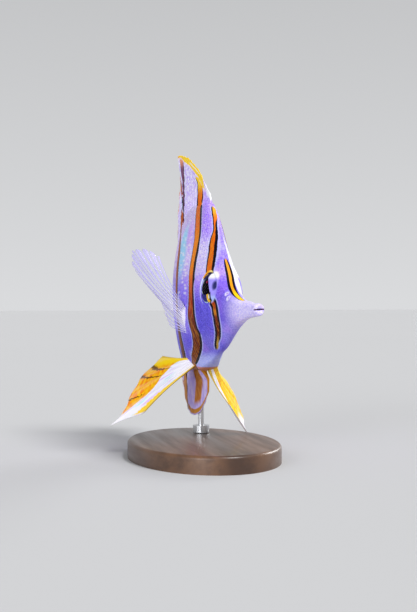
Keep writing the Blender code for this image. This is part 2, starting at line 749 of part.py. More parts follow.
def build():
    """Makes every body of the model."""
    for old in list(bpy.data.objects):
        bpy.data.objects.remove(old)

    half_gap = GAP / UNIT / 2
    finish(head("head"), SILVER, 0.35)
    finish(gill_cover("gill_cover_left", 1), SILVER, 0.35)
    finish(gill_cover("gill_cover_right", -1), SILVER, 0.35)
    finish(eyeball("eye_left", 1), BLACK, 0.1)
    finish(eyeball("eye_right", -1), BLACK, 0.1)
    finish(body_length("trunk", TRUNK_STATIONS, half_gap, half_gap), SILVER, 0.35)
    finish(body_length("tail", TAIL_STATIONS, half_gap, 0.0), SILVER, 0.35)

    dorsal = median_fin("dorsal_fin", DORSAL_RAYS, DORSAL_SPINES, BACK, 1, SHEATH, curve(DORSAL_LEAN))
    anal = median_fin("anal_fin", ANAL_RAYS, ANAL_SPINES, BELLY, -1, SOFT_SHEATH, curve(ANAL_LEAN))
    finish(dorsal, YELLOW, 0.45)
    finish(anal, ORANGE, 0.45)
    finish(caudal_fin("caudal_fin"), CLEAR, 0.45)

    pectoral = (PECTORAL_ROOT, PECTORAL_INWARD, PECTORAL_RAYS, CLEAR)
    right_pelvic = (RIGHT_PELVIC_ROOT, PELVIC_INWARD, PELVIC_RAYS, ORANGE)
    left_pelvic = (LEFT_PELVIC_ROOT, PELVIC_INWARD, PELVIC_RAYS, ORANGE)
    paired = (
        ("pectoral_fin_right", -1, RIGHT_PECTORAL, RIGHT_PECTORAL_BOW, *pectoral),
        ("pectoral_fin_left", 1, LEFT_PECTORAL, LEFT_PECTORAL_BOW, *pectoral),
        ("pelvic_fin_right", -1, RIGHT_PELVIC, RIGHT_PELVIC_BOW, *right_pelvic),
        ("pelvic_fin_left", 1, LEFT_PELVIC, LEFT_PELVIC_BOW, *left_pelvic),
    )
    for name, side, tips, bow, root, inward, count, colour in paired:
        fin = paired_fin(name, side, tips, bow, root, inward, count, swollen_body("skin", GAP))
        finish(fin, colour, 0.4)

    finish(stand_base("stand_base"), WOOD, 0.4)
    finish(stand_rod("stand_rod", swollen_body("skin", GAP)), STEEL, 0.3, 1.0)


build()
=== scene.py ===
"""The looks of the copperband butterflyfish model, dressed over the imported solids.

As in the solids, the fish is laid out straight in hundredths of its total length: a
station runs back from the snout, a side distance is positive on the fish's left and a
height is measured from the snout's level. place() bends that layout along the spine,
banks it and lifts it over the stand's base.
"""

import math

import bmesh
import bpy
import numpy as np
from mathutils import Matrix, Vector


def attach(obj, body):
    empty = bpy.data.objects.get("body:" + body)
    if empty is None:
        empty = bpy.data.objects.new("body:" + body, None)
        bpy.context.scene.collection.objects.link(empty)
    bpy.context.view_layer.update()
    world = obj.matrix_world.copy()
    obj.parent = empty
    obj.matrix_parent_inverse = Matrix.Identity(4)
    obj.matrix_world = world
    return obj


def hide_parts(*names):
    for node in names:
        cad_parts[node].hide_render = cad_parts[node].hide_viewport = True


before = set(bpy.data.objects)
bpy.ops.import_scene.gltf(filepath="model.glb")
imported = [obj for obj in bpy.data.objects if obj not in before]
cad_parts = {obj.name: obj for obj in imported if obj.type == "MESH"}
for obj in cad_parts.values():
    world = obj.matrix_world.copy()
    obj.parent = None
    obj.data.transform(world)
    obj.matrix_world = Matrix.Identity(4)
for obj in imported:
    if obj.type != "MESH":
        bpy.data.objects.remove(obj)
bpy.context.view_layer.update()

RNG = np.random.default_rng(11)

# The straight layout's driving sizes, as in the solids
UNIT = 0.0014
HEAD_TURN = 7.9
TAIL_TURN = 15.0
BANK = 2.7
SPINE_MIDDLE = 45.0
TAIL_BEND_START = 60.0
TAIL_BEND_POWER = 1.3
BASE_THICKNESS = 0.007
BASE_HALF = (0.045, 0.030)
BASE_SHOULDER = 0.0056
BASE_ROUNDING = 0.0014
LIFT = 38.2 * UNIT + BASE_THICKNESS
MIDDLE_OFFSET = 3.0 * UNIT

# Body: station, back, belly, half width, height of the widest line
PROFILE = (
    (0.0, 0.50, -1.10, 0.85, -0.20),
    (0.4, 0.98, -1.72, 1.28, -0.20),
    (1.1, 1.24, -1.84, 1.36, -0.20),
    (2.6, 1.18, -2.00, 1.22, -0.20),
    (6.0, 1.68, -2.26, 1.44, -0.30),
    (10.0, 2.08, -3.06, 1.90, -0.45),
    (13.5, 3.05, -4.10, 2.49, -0.50),
    (16.5, 4.58, -5.34, 2.90, -0.40),
    (19.0, 6.72, -6.66, 3.31, 0.00),
    (21.5, 10.43, -7.96, 3.75, 0.40),
    (24.0, 14.60, -9.32, 4.19, 0.60),
    (28.0, 21.70, -11.17, 4.67, 0.40),
    (31.0, 26.45, -12.20, 4.95, 0.10),
    (34.0, 28.75, -13.40, 5.50, 0.00),
    (40.0, 29.10, -15.80, 6.30, 0.20),
    (44.0, 29.40, -16.90, 6.75, 0.50),
    (48.0, 29.60, -17.70, 6.90, 0.80),
    (55.0, 29.20, -18.30, 6.40, 1.50),
    (62.0, 27.00, -18.50, 5.50, 2.00),
    (70.0, 21.80, -16.20, 4.40, 2.20),
    (78.0, 14.40, -10.80, 3.10, 1.80),
    (84.0, 7.40, -5.90, 2.15, 1.00),
    (87.5, 5.60, -4.80, 1.75, 0.50),
    (91.0, 5.60, -4.90, 1.55, 0.40),
)
BACK_SHARPNESS = ((0.0, 1.0), (12.0, 0.95), (16.0, 1.25), (20.5, 1.1), (23.5, 1.3), (28.0, 1.95),
                  (34.0, 1.65), (60.0, 1.7), (91.0, 1.1))
BELLY_SHARPNESS = ((0.0, 1.0), (8.0, 1.0), (14.0, 1.1), (22.0, 1.4), (29.0, 1.4), (36.0, 2.3), (44.0, 2.1),
                   (50.0, 1.3), (56.0, 0.75), (62.0, 0.7), (70.0, 0.9), (91.0, 1.1))
BACK_CREST = ((0.0, 0.20), (12.0, 0.45), (28.0, 0.70), (60.0, 0.75), (91.0, 0.55))
BELLY_CREST = ((0.0, 0.20), (12.0, 0.40), (29.0, 0.50), (36.0, 1.2), (43.0, 2.4), (46.0, 2.5), (49.0, 1.5),
               (53.0, 0.8), (60.0, 0.7), (91.0, 0.5))
TAIL_END = 88.6

# Eyes: centre and distance of the ring round them, the dome over it and the ball's depth below
EYE_STATION = 25.8
EYE_HEIGHT = 5.7
EYE_RING_SIDE = 3.95
EYE_RADIUS = 4.25
EYE_BULGE = 1.15
EYE_DEPTH = 2.6
EYE_SINK = 0.20
EYE_FORWARD_TILT = 11.0
EYE_UP_TILT = 10.0

# Mouth and nostrils: station, height and radius of each nostril
MOUTH_HEIGHT = -0.20
MOUTH_LENGTH = 2.3
NOSTRILS = ((15.8, 2.7, 0.36), (17.2, 3.9, 0.30))

# Rear edges of the gill cover and of the plate in front of it: height, station
GILL_EDGE = ((-11.0, 27.8), (-10.1, 29.6), (-8.7, 32.4), (-5.0, 34.8), (-1.0, 35.8), (4.0, 35.4),
             (8.0, 34.4), (9.6, 33.2))
CHEEK_EDGE = ((-8.5, 24.6), (-6.5, 27.0), (-2.0, 29.4), (3.0, 31.0), (7.0, 31.6))

# Bands: height, rear edge, seam between the orange and the black, front edge
EYE_BAND = (
    (-11.6, 30.4, 30.4, 30.4), (-10.4, 28.6, 27.9, 27.9), (-9.2, 27.2, 26.3, 26.3),
    (-7.8, 25.4, 24.5, 23.9), (-6.2, 23.9, 22.9, 22.2), (-4.2, 23.0, 21.6, 20.8),
    (-2.3, 22.6, 21.3, 20.2), (-0.4, 22.7, 21.4, 20.1), (1.5, 22.9, 21.7, 20.7),
    (4.0, 25.8, 23.4, 22.2), (8.0, 27.4, 24.8, 23.6), (11.2, 27.7, 25.3, 24.1),
    (13.3, 27.7, 25.6, 24.5), (15.4, 27.7, 26.1, 25.1), (17.4, 28.6, 26.9, 25.8),
    (19.1, 29.5, 27.6, 26.2), (20.3, 29.0, 27.8, 26.6), (21.5, 28.6, 27.9, 27.1),
    (23.0, 29.0, 28.3, 27.6), (24.5, 29.4, 28.1, 28.1), (25.9, 30.1, 28.9, 28.9),
    (27.0, 30.7, 29.7, 29.7), (28.1, 31.4, 31.2, 31.2), (29.5, 33.0, 33.0, 33.0),
)
GILL_BAND = (
    (-22.0, 60.0, 57.0, 56.0), (-18.6, 55.6, 52.8, 51.8), (-16.6, 52.1, 48.7, 47.5),
    (-15.0, 49.3, 45.1, 43.5), (-12.8, 45.4, 41.4, 40.0), (-10.7, 42.5, 38.7, 37.4),
    (-8.7, 40.9, 36.9, 35.7), (-6.7, 40.1, 36.1, 34.8), (-2.7, 40.3, 36.2, 34.7),
    (1.2, 39.2, 36.4, 34.7), (5.3, 38.7, 36.4, 34.9), (9.5, 38.9, 36.3, 34.8),
    (13.3, 38.2, 35.7, 34.1), (17.1, 37.6, 34.7, 33.4), (19.0, 37.6, 34.5, 33.4),
    (21.2, 38.4, 34.8, 33.6), (23.2, 39.4, 35.7, 34.3), (25.2, 40.9, 37.1, 35.5),
    (27.0, 42.5, 38.8, 37.0), (28.9, 44.6, 41.0, 39.3), (30.6, 45.3, 42.0, 40.5),
    (32.1, 45.9, 42.0, 41.1), (33.8, 46.5, 41.4, 41.2), (36.0, 47.0, 42.5, 42.5),
    (38.0, 49.0, 49.0, 49.0),
)
FLANK_BAND = (
    (-34.0, 70.0, 66.4, 65.4), (-25.0, 65.8, 62.2, 61.2), (-18.0, 61.5, 57.8, 56.8),
    (-15.0, 59.6, 55.6, 54.4), (-13.0, 58.2, 54.2, 53.0), (-10.0, 57.0, 53.2, 52.0),
    (-7.0, 56.6, 52.7, 51.5), (-3.0, 55.8, 51.8, 50.4), (4.0, 55.4, 51.6, 50.4),
    (9.0, 55.2, 51.6, 50.5), (13.0, 55.2, 51.7, 50.8), (17.0, 55.6, 52.3, 51.6),
    (21.6, 59.4, 57.2, 56.4), (25.5, 67.0, 64.2, 63.2), (28.2, 69.0, 66.0, 65.1),
    (31.0, 68.6, 66.0, 65.1), (35.2, 68.0, 66.0, 65.1), (38.4, 67.8, 65.6, 64.6),
    (41.4, 69.2, 65.2, 64.6), (46.0, 70.5, 66.0, 65.4),
)
REAR_BAND = (
    (-34.0, 81.1, 76.2, 75.2), (-20.0, 79.3, 74.2, 73.2), (0.0, 77.5, 72.0, 71.0),
    (12.0, 78.6, 73.0, 72.0), (20.0, 80.6, 76.0, 75.0), (26.0, 80.8, 77.4, 76.5),
    (32.0, 79.8, 77.2, 76.4), (38.0, 80.6, 79.0, 78.4), (47.0, 82.4, 81.5, 81.0),
)
TAIL_BAND = ((-12.0, 87.6, 87.6, 85.5), (0.0, 88.1, 88.1, 85.6), (12.0, 87.6, 87.6, 85.5))
BANDS = {"eye_band": EYE_BAND, "gill_band": GILL_BAND, "flank_band": FLANK_BAND, "rear_band": REAR_BAND,
         "tail_band": TAIL_BAND}
# The stripe down the forehead: station, middle, half width of the orange, width of its black edges
STRIPE = (
    (9.3, -0.20, 0.20, 0.10), (11.3, -0.25, 0.42, 0.20), (14.7, -0.25, 0.46, 0.34), (16.8, -0.22, 0.36, 0.60),
    (18.1, -0.12, 0.34, 0.70), (19.4, 0.10, 0.36, 0.70), (20.5, 0.30, 0.37, 0.68), (21.8, 0.32, 0.34, 0.60),
    (23.1, 0.18, 0.22, 0.30), (24.0, 0.10, 0.10, 0.10),
)
# The ringed spot: station, height, radius
OCELLUS = (76.8, 32.5, 2.6)

# Median fins: ray number, base station, tip station, tip height
DORSAL_RAYS = ((0, 33.2, 34.0, 31.5), (1, 36.1, 38.0, 34.5), (2, 39.1, 42.0, 37.4), (5, 48.2, 54.9, 43.4),
               (8, 57.0, 65.8, 46.1), (14, 64.2, 74.8, 47.0), (20, 69.8, 80.6, 43.6),
               (26, 74.9, 84.5, 34.5), (32, 80.0, 86.5, 21.5), (36, 83.6, 86.6, 11.4))
DORSAL_SPINES = 9
ANAL_RAYS = ((0, 51.6, 52.5, -24.6), (1, 54.4, 56.6, -28.2), (2, 57.4, 61.2, -30.8),
             (6, 62.6, 68.6, -33.0), (11, 68.8, 76.4, -31.2), (17, 76.8, 83.4, -22.4),
             (22, 83.4, 85.8, -9.8))
ANAL_SPINES = 3
# How far each fin leans to the fish's left: ray number, distance
ANAL_LEAN = ((0, 1.5), (2, 1.2), (4, 0.4), (6, 0.0), (11, -0.4), (17, -0.8), (22, -0.8))
DORSAL_LEAN = ((0, 0.0), (12, 0.0), (14, 0.1), (17, 1.0), (20, 1.4), (23, 1.4), (26, 0.9), (30, 0.2),
               (36, 0.0))
CAUDAL_RAYS = 17
CAUDAL_ROOT = (-4.2, 4.9)
CAUDAL_SPREAD = 10.0
CAUDAL_CORNER = 98.4
CAUDAL_MIDDLE = 100.0

# Paired fins: root ends, how far the roots sink in, and some rays' tips from the root's middle
PECTORAL_ROOT = ((41.6, 6.3, -0.9), (44.0, 5.9, -7.0))
PECTORAL_SINK = (0, -0.6, 0)
PECTORAL_RAYS = 15
RIGHT_PECTORAL = ((0, 4.0, 6.2, 19.3), (2, 6.6, 10.1, 21.7), (4, 9.6, 13.0, 21.4), (6, 11.6, 12.9, 17.9),
                  (8, 14.3, 9.0, 12.2), (10, 14.4, 4.9, 7.7), (12, 13.0, 3.5, 2.5), (14, 9.8, 3.1, -0.6))
LEFT_PECTORAL = ((0, 15.6, 2.4, 10.2), (2, 20.0, 3.0, 11.0), (4, 22.4, 3.3, 9.0), (6, 22.0, 3.2, 5.4),
                 (8, 19.6, 2.8, 1.6), (11, 14.6, 2.2, -3.0), (14, 9.0, 1.5, -5.4))
RIGHT_PELVIC_ROOT = ((50.6, 3.3, -17.2), (52.6, 4.3, -15.4))
LEFT_PELVIC_ROOT = ((45.6, 0.8, -17.3), (44.4, 2.9, -16.5))
PELVIC_SINK = (0, -0.8, 0.6)
PELVIC_RAYS = 6
RIGHT_PELVIC = ((0, 5.1, 13.4, -13.7), (1, 10.3, 22.6, -17.2), (2, 10.6, 19.5, -14.7),
                (3, 10.9, 16.1, -8.7), (4, 11.2, 12.4, -3.4), (5, 9.2, 6.2, 2.4))
LEFT_PELVIC = ((0, 5.7, 5.5, -12.1), (1, 13.2, 12.2, -21.4), (2, 15.4, 12.0, -17.5),
               (3, 15.7, 11.0, -14.2), (4, 14.1, 9.2, -10.0), (5, 11.9, 6.2, -5.1))

# Camera: focal length in millimetres, distance in units, turns in degrees
FOCAL = 63.2
CAMERA_DISTANCE = 306.6
CAMERA_YAW = 13.45
CAMERA_PITCH = 0.95
CAMERA_ROLL = -2.69
CAMERA_SHIFT = (0.86, 0.58)


def curve(rows, column=1):
    """A smooth curve through the rows' first value and the one in the given column."""
    stations = np.array([row[0] for row in rows], float)
    values = np.array([row[column] for row in rows], float)
    steps = np.diff(stations)
    slopes = np.diff(values) / steps
    tangents = np.concatenate([slopes[:1], (slopes[:-1] + slopes[1:]) / 2, slopes[-1:]])
    tangents[1:-1][slopes[:-1] * slopes[1:] <= 0] = 0
    limits = 3 * np.minimum(np.abs(slopes[:-1]), np.abs(slopes[1:]))
    tangents[1:-1] = np.clip(tangents[1:-1], -limits, limits)

    def value(station):
        station = np.asarray(station, float)
        piece = np.clip(np.searchsorted(stations, station) - 1, 0, len(steps) - 1)
        part = np.clip((station - stations[piece]) / steps[piece], 0.0, 1.0)
        start = (1 + 2 * part) * (1 - part) ** 2 * values[piece]
        start = start + part * (1 - part) ** 2 * steps[piece] * tangents[piece]
        end = part ** 2 * (3 - 2 * part) * values[piece + 1]
        end = end + part ** 2 * (part - 1) * steps[piece] * tangents[piece + 1]
        return start + end

    return value


BACK = curve(PROFILE, 1)
BELLY = curve(PROFILE, 2)
HALF_WIDTH = curve(PROFILE, 3)
WIDEST = curve(PROFILE, 4)
BACK_POWER = curve(BACK_SHARPNESS)
BELLY_POWER = curve(BELLY_SHARPNESS)
BACK_CREST_HALF = curve(BACK_CREST)
BELLY_CREST_HALF = curve(BELLY_CREST)


def spine_table():
    """Stations with the spine's place and heading at each, from its two bends."""
    stations = np.linspace(-5.0, 105.0, 881)
    head = math.radians(HEAD_TURN) * np.maximum(SPINE_MIDDLE - stations, 0) / SPINE_MIDDLE
    reach = np.maximum(stations - TAIL_BEND_START, 0) / (100 - TAIL_BEND_START)
    headings = head - math.radians(TAIL_TURN) * reach ** TAIL_BEND_POWER
    step = stations[1] - stations[0]

    def running(values):
        total = np.concatenate([[0.0], np.cumsum((values[1:] + values[:-1]) / 2 * step)])
        return total - np.interp(SPINE_MIDDLE, stations, total)

    return stations, -running(np.cos(headings)), -running(np.sin(headings)), headings


SPINE = spine_table()


def bank(points):
    """Turns points about the fish's long axis by its bank."""
    turn = np.array(Matrix.Rotation(math.radians(BANK), 3, "X"))
    return points @ turn.T


def place(points):
    """World places of straight layout points (station, side, height), one per row."""
    stations, ahead, across, headings = SPINE
    heading = np.interp(points[:, 0], stations, headings)
    x = np.interp(points[:, 0], stations, ahead) - np.sin(heading) * points[:, 1]
    y = np.interp(points[:, 0], stations, across) + np.cos(heading) * points[:, 1]
    return bank(np.stack([x, y, points[:, 2]], 1)) * UNIT + np.array([MIDDLE_OFFSET, 0, LIFT])


def smooth(low, high, value):
    """0 below low, 1 above high and an S-curve between them."""
    part = np.clip((np.asarray(value, float) - low) / (high - low), 0, 1)
    return part * part * (3 - 2 * part)


def bump(distance, width):
    """A bell of height 1 at distance 0."""
    return np.exp(-(np.asarray(distance) / width) ** 2)


def side_at(station, height):
    """The body's half width at stations and heights."""
    middle = WIDEST(station)
    above = height > middle
    span = np.where(above, BACK(station) - middle, middle - BELLY(station))
    rise = np.clip((height - middle) / span, -1, 1)
    power = np.where(above, BACK_POWER(station), BELLY_POWER(station))
    crest = np.where(above, BACK_CREST_HALF(station), BELLY_CREST_HALF(station))
    return crest + (HALF_WIDTH(station) - crest) * np.sqrt(1 - rise ** 2) ** power


def half_ring(station, count):
    """Sides and heights up one flank at a station, evenly spaced from belly to back."""
    angles = np.radians(np.linspace(-90, 90, 721))
    middle = float(WIDEST(station))
    rise = np.sin(angles)
    above = rise > 0
    span = np.where(above, float(BACK(station)) - middle, middle - float(BELLY(station)))
    height = middle + span * rise
    power = np.where(above, BACK_POWER(station), BELLY_POWER(station))
    crest = np.where(above, BACK_CREST_HALF(station), BELLY_CREST_HALF(station))
    side = crest + (HALF_WIDTH(station) - crest) * np.maximum(np.cos(angles), 0) ** power
    along = np.concatenate([[0], np.cumsum(np.hypot(np.diff(side), np.diff(height)))])
    wanted = np.linspace(0, along[-1], count)
    return np.interp(wanted, along, side), np.interp(wanted, along, height)


def eye_frame(side):
    """Centre of the orbit's ring and a turn whose +Z looks out of the eye."""
    forward = math.radians(EYE_FORWARD_TILT)
    upward = math.radians(EYE_UP_TILT)
    out = Vector((-math.sin(forward), side * math.cos(forward) * math.cos(upward), math.sin(upward)))
    turn = out.to_track_quat("Z", "Y").to_matrix()
    return np.array([EYE_STATION, side * EYE_RING_SIDE, EYE_HEIGHT]), np.array(turn)


# Markings

# Distances from a band or the stripe are stored up to this
FAR = 12


def markings(points):
    """For each band how far a point lies behind its seam, the orange's width and the black's.

    Near the crest the band round the eye is measured across the nape as well. For the
    forehead stripe it is the distance from its middle, the orange's half width and the
    width of its black edges.
    """
    station, side, height = points.T
    across = np.abs(side - 0.8 * smooth(14.0, 20.0, height))
    found = {}
    for name, band in BANDS.items():
        rear, seam, front = (curve(band, column)(height) for column in (1, 2, 3))
        along = station - seam
        if name == "eye_band":
            along = along + 1.3 * smooth(16.0, 20.0, height) * (across - 1.5)
            along = along - 3.0 * smooth(0.7, 1.5, side) * smooth(9.0, 13.0, height)
        found[name] = np.stack([np.clip(along, -FAR, FAR), rear - seam, seam - front], 1)
    found["eye_band"][(height < -11.6) | (height > 29.5), 1:] = 0
    away = np.abs(side - curve(STRIPE)(station))
    half, edge = (curve(STRIPE, column)(station) for column in (2, 3))
    found["stripe"] = np.stack([np.clip(away, 0, FAR), half, edge], 1)
    return found


def set_vectors(mesh, name, values):
    """Stores one vector per vertex under a name that materials read."""
    values = np.asarray(values, np.float32)
    attribute = mesh.attributes.new(name, "FLOAT_VECTOR", "POINT")
    attribute.data.foreach_set("vector", values.ravel())


def make_object(name, points, faces, straight=True):
    """A mesh piece that rides on the model, from straight layout points or else world points."""
    points = np.asarray(points, float)
    mesh = bpy.data.meshes.new(name)
    mesh.from_pydata((place(points) if straight else points).tolist(), [], faces)
    mesh.update()
    if straight:
        for key, values in {"layout": points, **markings(points)}.items():
            set_vectors(mesh, key, values)
    mesh.shade_smooth()
    body = bpy.data.objects.new(name, mesh)
    bpy.context.scene.collection.objects.link(body)
    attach(body, "root")
    return body


def grid_faces(rows, columns, start=0, ring=False, flip=False):
    """Quads over a grid of points stored row by row."""
    row = np.arange(rows - 1)[:, None]
    column = np.arange(columns if ring else columns - 1)[None, :]
    after = (column + 1) % columns
    first = start + row * columns + column
    second = start + row * columns + after
    third = start + (row + 1) * columns + after
    fourth = start + (row + 1) * columns + column
    order = (first, fourth, third, second) if flip else (first, second, third, fourth)
    return np.stack([part + 0 * first for part in order], -1).reshape(-1, 4)


def tube_faces(rings, around, flip=False):
    """Quads between rings of points, and a face over each end."""
    faces = grid_faces(rings, around, ring=True, flip=flip).tolist()
    faces.append(list(range(around)))
    faces.append(list(range((rings - 1) * around, rings * around))[::-1])
    return faces


def grid_rim(rows, columns):
    """Indices of a grid's border points, once round."""
    rim = list(range(columns))
    rim += [row * columns + columns - 1 for row in range(1, rows)]
    rim += [(rows - 1) * columns + column for column in range(columns - 2, -1, -1)]
    rim += [row * columns for row in range(rows - 2, 0, -1)]
    return rim


# Skin

SKIN_SIDE = 150
CREST_STEPS = 3
CREST_DOME = 0.22
# Rings of mouth and lips, from inside out: station, width and height as parts of the ring at
# LIP_STATION
LIPS = ((1.70, 0.34, 0.07), (0.75, 0.50, 0.12), (0.30, 0.58, 0.22), (0.08, 0.66, 0.40), (0.0, 0.76, 0.60),
        (0.03, 0.87, 0.80), (0.16, 0.95, 0.94))
LIP_STATION = 0.40
# The other rings, closest at the lips, nostrils and eyes: first station, last, distance
RING_STATIONS = ((0.40, 3.0, 0.07), (3.0, 15.5, 0.17), (15.5, 20.2, 0.09), (20.2, 36.6, 0.15),
                 (36.6, 89.0, 0.27))
LAST_RING = 89.2


def skin_ring(station):
    """One whole ring of the skin: left side up, over the back, right side down."""
    side, height = half_ring(station, SKIN_SIDE)
    across = np.linspace(1, -1, CREST_STEPS + 2)[1:-1]
    dome = CREST_DOME * (1 - across ** 2)
    over = np.stack([across * side[-1], height[-1] + dome * side[-1]], 1)
    under = np.stack([-across * side[0], height[0] - dome * side[0]], 1)
    left = np.stack([side, height], 1)
    right = np.stack([-side[::-1], height[::-1]], 1)
    ring = np.concatenate([left, over, right, under])
    return np.column_stack([np.full(len(ring), station), ring])


def skin_normals(grid):
    """Outward normals of the ring grid in the straight layout."""
    along = np.gradient(grid, axis=0)
    around = np.roll(grid, -1, 1) - np.roll(grid, 1, 1)
    normals = np.cross(around, along)
    length = np.linalg.norm(normals, axis=2, keepdims=True)
    return normals / np.maximum(length, 1e-9)


def skin_relief(points):
    """How far the skin stands out of the plain body, in units."""
    station, side, height = points.T
    flank = smooth(0.2, 0.9, np.abs(side) / np.maximum(HALF_WIDTH(station), 0.1))
    relief = np.zeros(len(points))
    # Mouth line and fuller lips
    reach = 1 - smooth(MOUTH_LENGTH * 0.3, MOUTH_LENGTH * 0.75, station)
    relief -= 0.26 * reach * bump(height - MOUTH_HEIGHT, 0.13)
    relief += 0.10 * bump(station - 0.9, 0.7) * bump(np.abs(height - MOUTH_HEIGHT) - 0.62, 0.34)
    # Nostrils: a pit with a raised rim
    for at, level, radius in NOSTRILS:
        distance = np.hypot(station - at, height - level)
        relief += flank * 0.16 * bump(distance - radius * 1.45, radius * 0.5)
        relief -= flank * 0.42 * (1 - smooth(radius * 0.55, radius * 1.15, distance))
    # A low ridge runs from the nostrils down the snout
    ridge = height - np.interp(station, (10.0, 14.0, 17.5, 20.5), (1.1, 2.0, 3.9, 6.6))
    reach = smooth(10.0, 13.0, station) * (1 - smooth(18.5, 20.5, station))
    relief += flank * 0.10 * reach * bump(ridge, 0.5)
    # Gill cover's free edge, and the cheek's plate
    span = smooth(-11.0, -9.6, height) * (1 - smooth(8.0, 9.6, height))
    behind = station - curve(GILL_EDGE)(height)
    flap = np.where(behind < 0, np.exp(np.minimum(behind, 0) / 2.2), 1 - smooth(0.0, 0.30, behind))
    relief += flank * 0.24 * span * flap
    relief -= flank * 0.10 * span * bump(behind - 0.45, 0.35)
    span = smooth(-8.4, -6.8, height) * (1 - smooth(5.0, 6.9, height))
    ahead = station - curve(CHEEK_EDGE)(height)
    plate = np.where(ahead < 0, np.exp(np.minimum(ahead, 0) / 1.4), 1 - smooth(0, 0.3, ahead))
    relief += flank * 0.09 * span * plate
    # Soft folds under the jaw
    relief -= 0.05 * bump(station - 9.0, 5.0) * bump(height - BELLY(station) * 0.78, 0.35)
    return relief


# Where the sunken skin behind an eye ends, how far in the eye's own frame it reaches and drops
SOCKET_EDGE = (4.85, 5.3)
SOCKET_REACH = -3.0
SOCKET_DROP = 1.6


def open_sockets(points):
    """Sinks the skin behind the eyes, where the orbit's own ring of skin takes over."""
    for side in (1, -1):
        centre, turn = eye_frame(side)
        local = (points - centre) @ turn
        radius = np.hypot(local[:, 0], local[:, 1])
        inside = (1 - smooth(*SOCKET_EDGE, radius)) * (local[:, 2] > SOCKET_REACH)
        local[:, 2] -= inside * (SOCKET_DROP + np.maximum(local[:, 2], 0))
        points = local @ turn.T + centre
    return points


def body_skin():
    """Rings from inside the lips to the tail, as points and faces."""
    first = skin_ring(LIP_STATION)
    rings = []
    for station, wide, tall in LIPS:
        ring = first.copy()
        ring[:, 0] = station
        ring[:, 1] *= wide
        ring[:, 2] = MOUTH_HEIGHT + (ring[:, 2] - MOUTH_HEIGHT) * tall
        rings.append(ring)
    stations = np.concatenate([np.arange(*part) for part in RING_STATIONS])
    outer = np.stack([skin_ring(station) for station in np.append(stations, LAST_RING)])
    grid = np.concatenate([np.stack(rings), outer])
    normals = skin_normals(grid)
    around = grid.shape[1]
    points = grid.reshape(-1, 3)
    relief = skin_relief(points)
    relief[:len(rings) * around] = 0
    points = points + normals.reshape(-1, 3) * relief[:, None]
    return open_sockets(points), tube_faces(len(grid), around)


# The rim round an eye: radius, height above the skin, how much of it follows the flat plane
ORBIT_PROFILE = ((6.25, -0.05, 0.0), (6.0, 0.0, 0.05), (5.7, 0.05, 0.15), (5.4, 0.11, 0.35),
                 (5.15, 0.18, 0.6), (4.95, 0.25, 0.8), (4.78, 0.29, 0.9), (4.62, 0.27, 1.0),
                 (4.50, 0.21, 1.0))
ORBIT_PLANE = -0.12
ORBIT_AROUND = 160
# In front the rim swells: height, radius of its crest, width
SWELL = (0.16, 4.9, 0.5)
# The eye's opening in the skin: angle up from straight ahead in degrees, radius
EYE_OPENING = ((-180.0, 4.26), (-62.0, 4.26), (-52.0, 3.95), (-43.0, 3.35), (-33.0, 2.70), (-10.0, 1.95),
               (28.0, 1.65), (62.0, 2.10), (84.0, 3.00), (94.0, 3.70), (103.0, 4.26), (180.0, 4.26))
# The fold over the eye's front: height above the dome, rows of points
COVER = 0.20
COVER_ROWS = 12
# The pit in the fold: station and height, radii, depth
PIT = (22.3, 6.25)
PIT_RADII = (0.75, 1.25)
PIT_DEPTH = 0.55


def eye_opening(points, centre):
    """Radius of the opening in the skin in each point's direction."""
    angle = np.degrees(np.arctan2(points[:, 2] - centre[2], centre[0] - points[:, 0]))
    return np.interp(angle, *np.array(EYE_OPENING).T)


def eye_dome(radius):
    """Height of the eye's clear dome above the ring's plane."""
    return EYE_BULGE * np.sqrt(np.clip(1 - (radius / EYE_RADIUS) ** 2, 0, 1)) - EYE_SINK


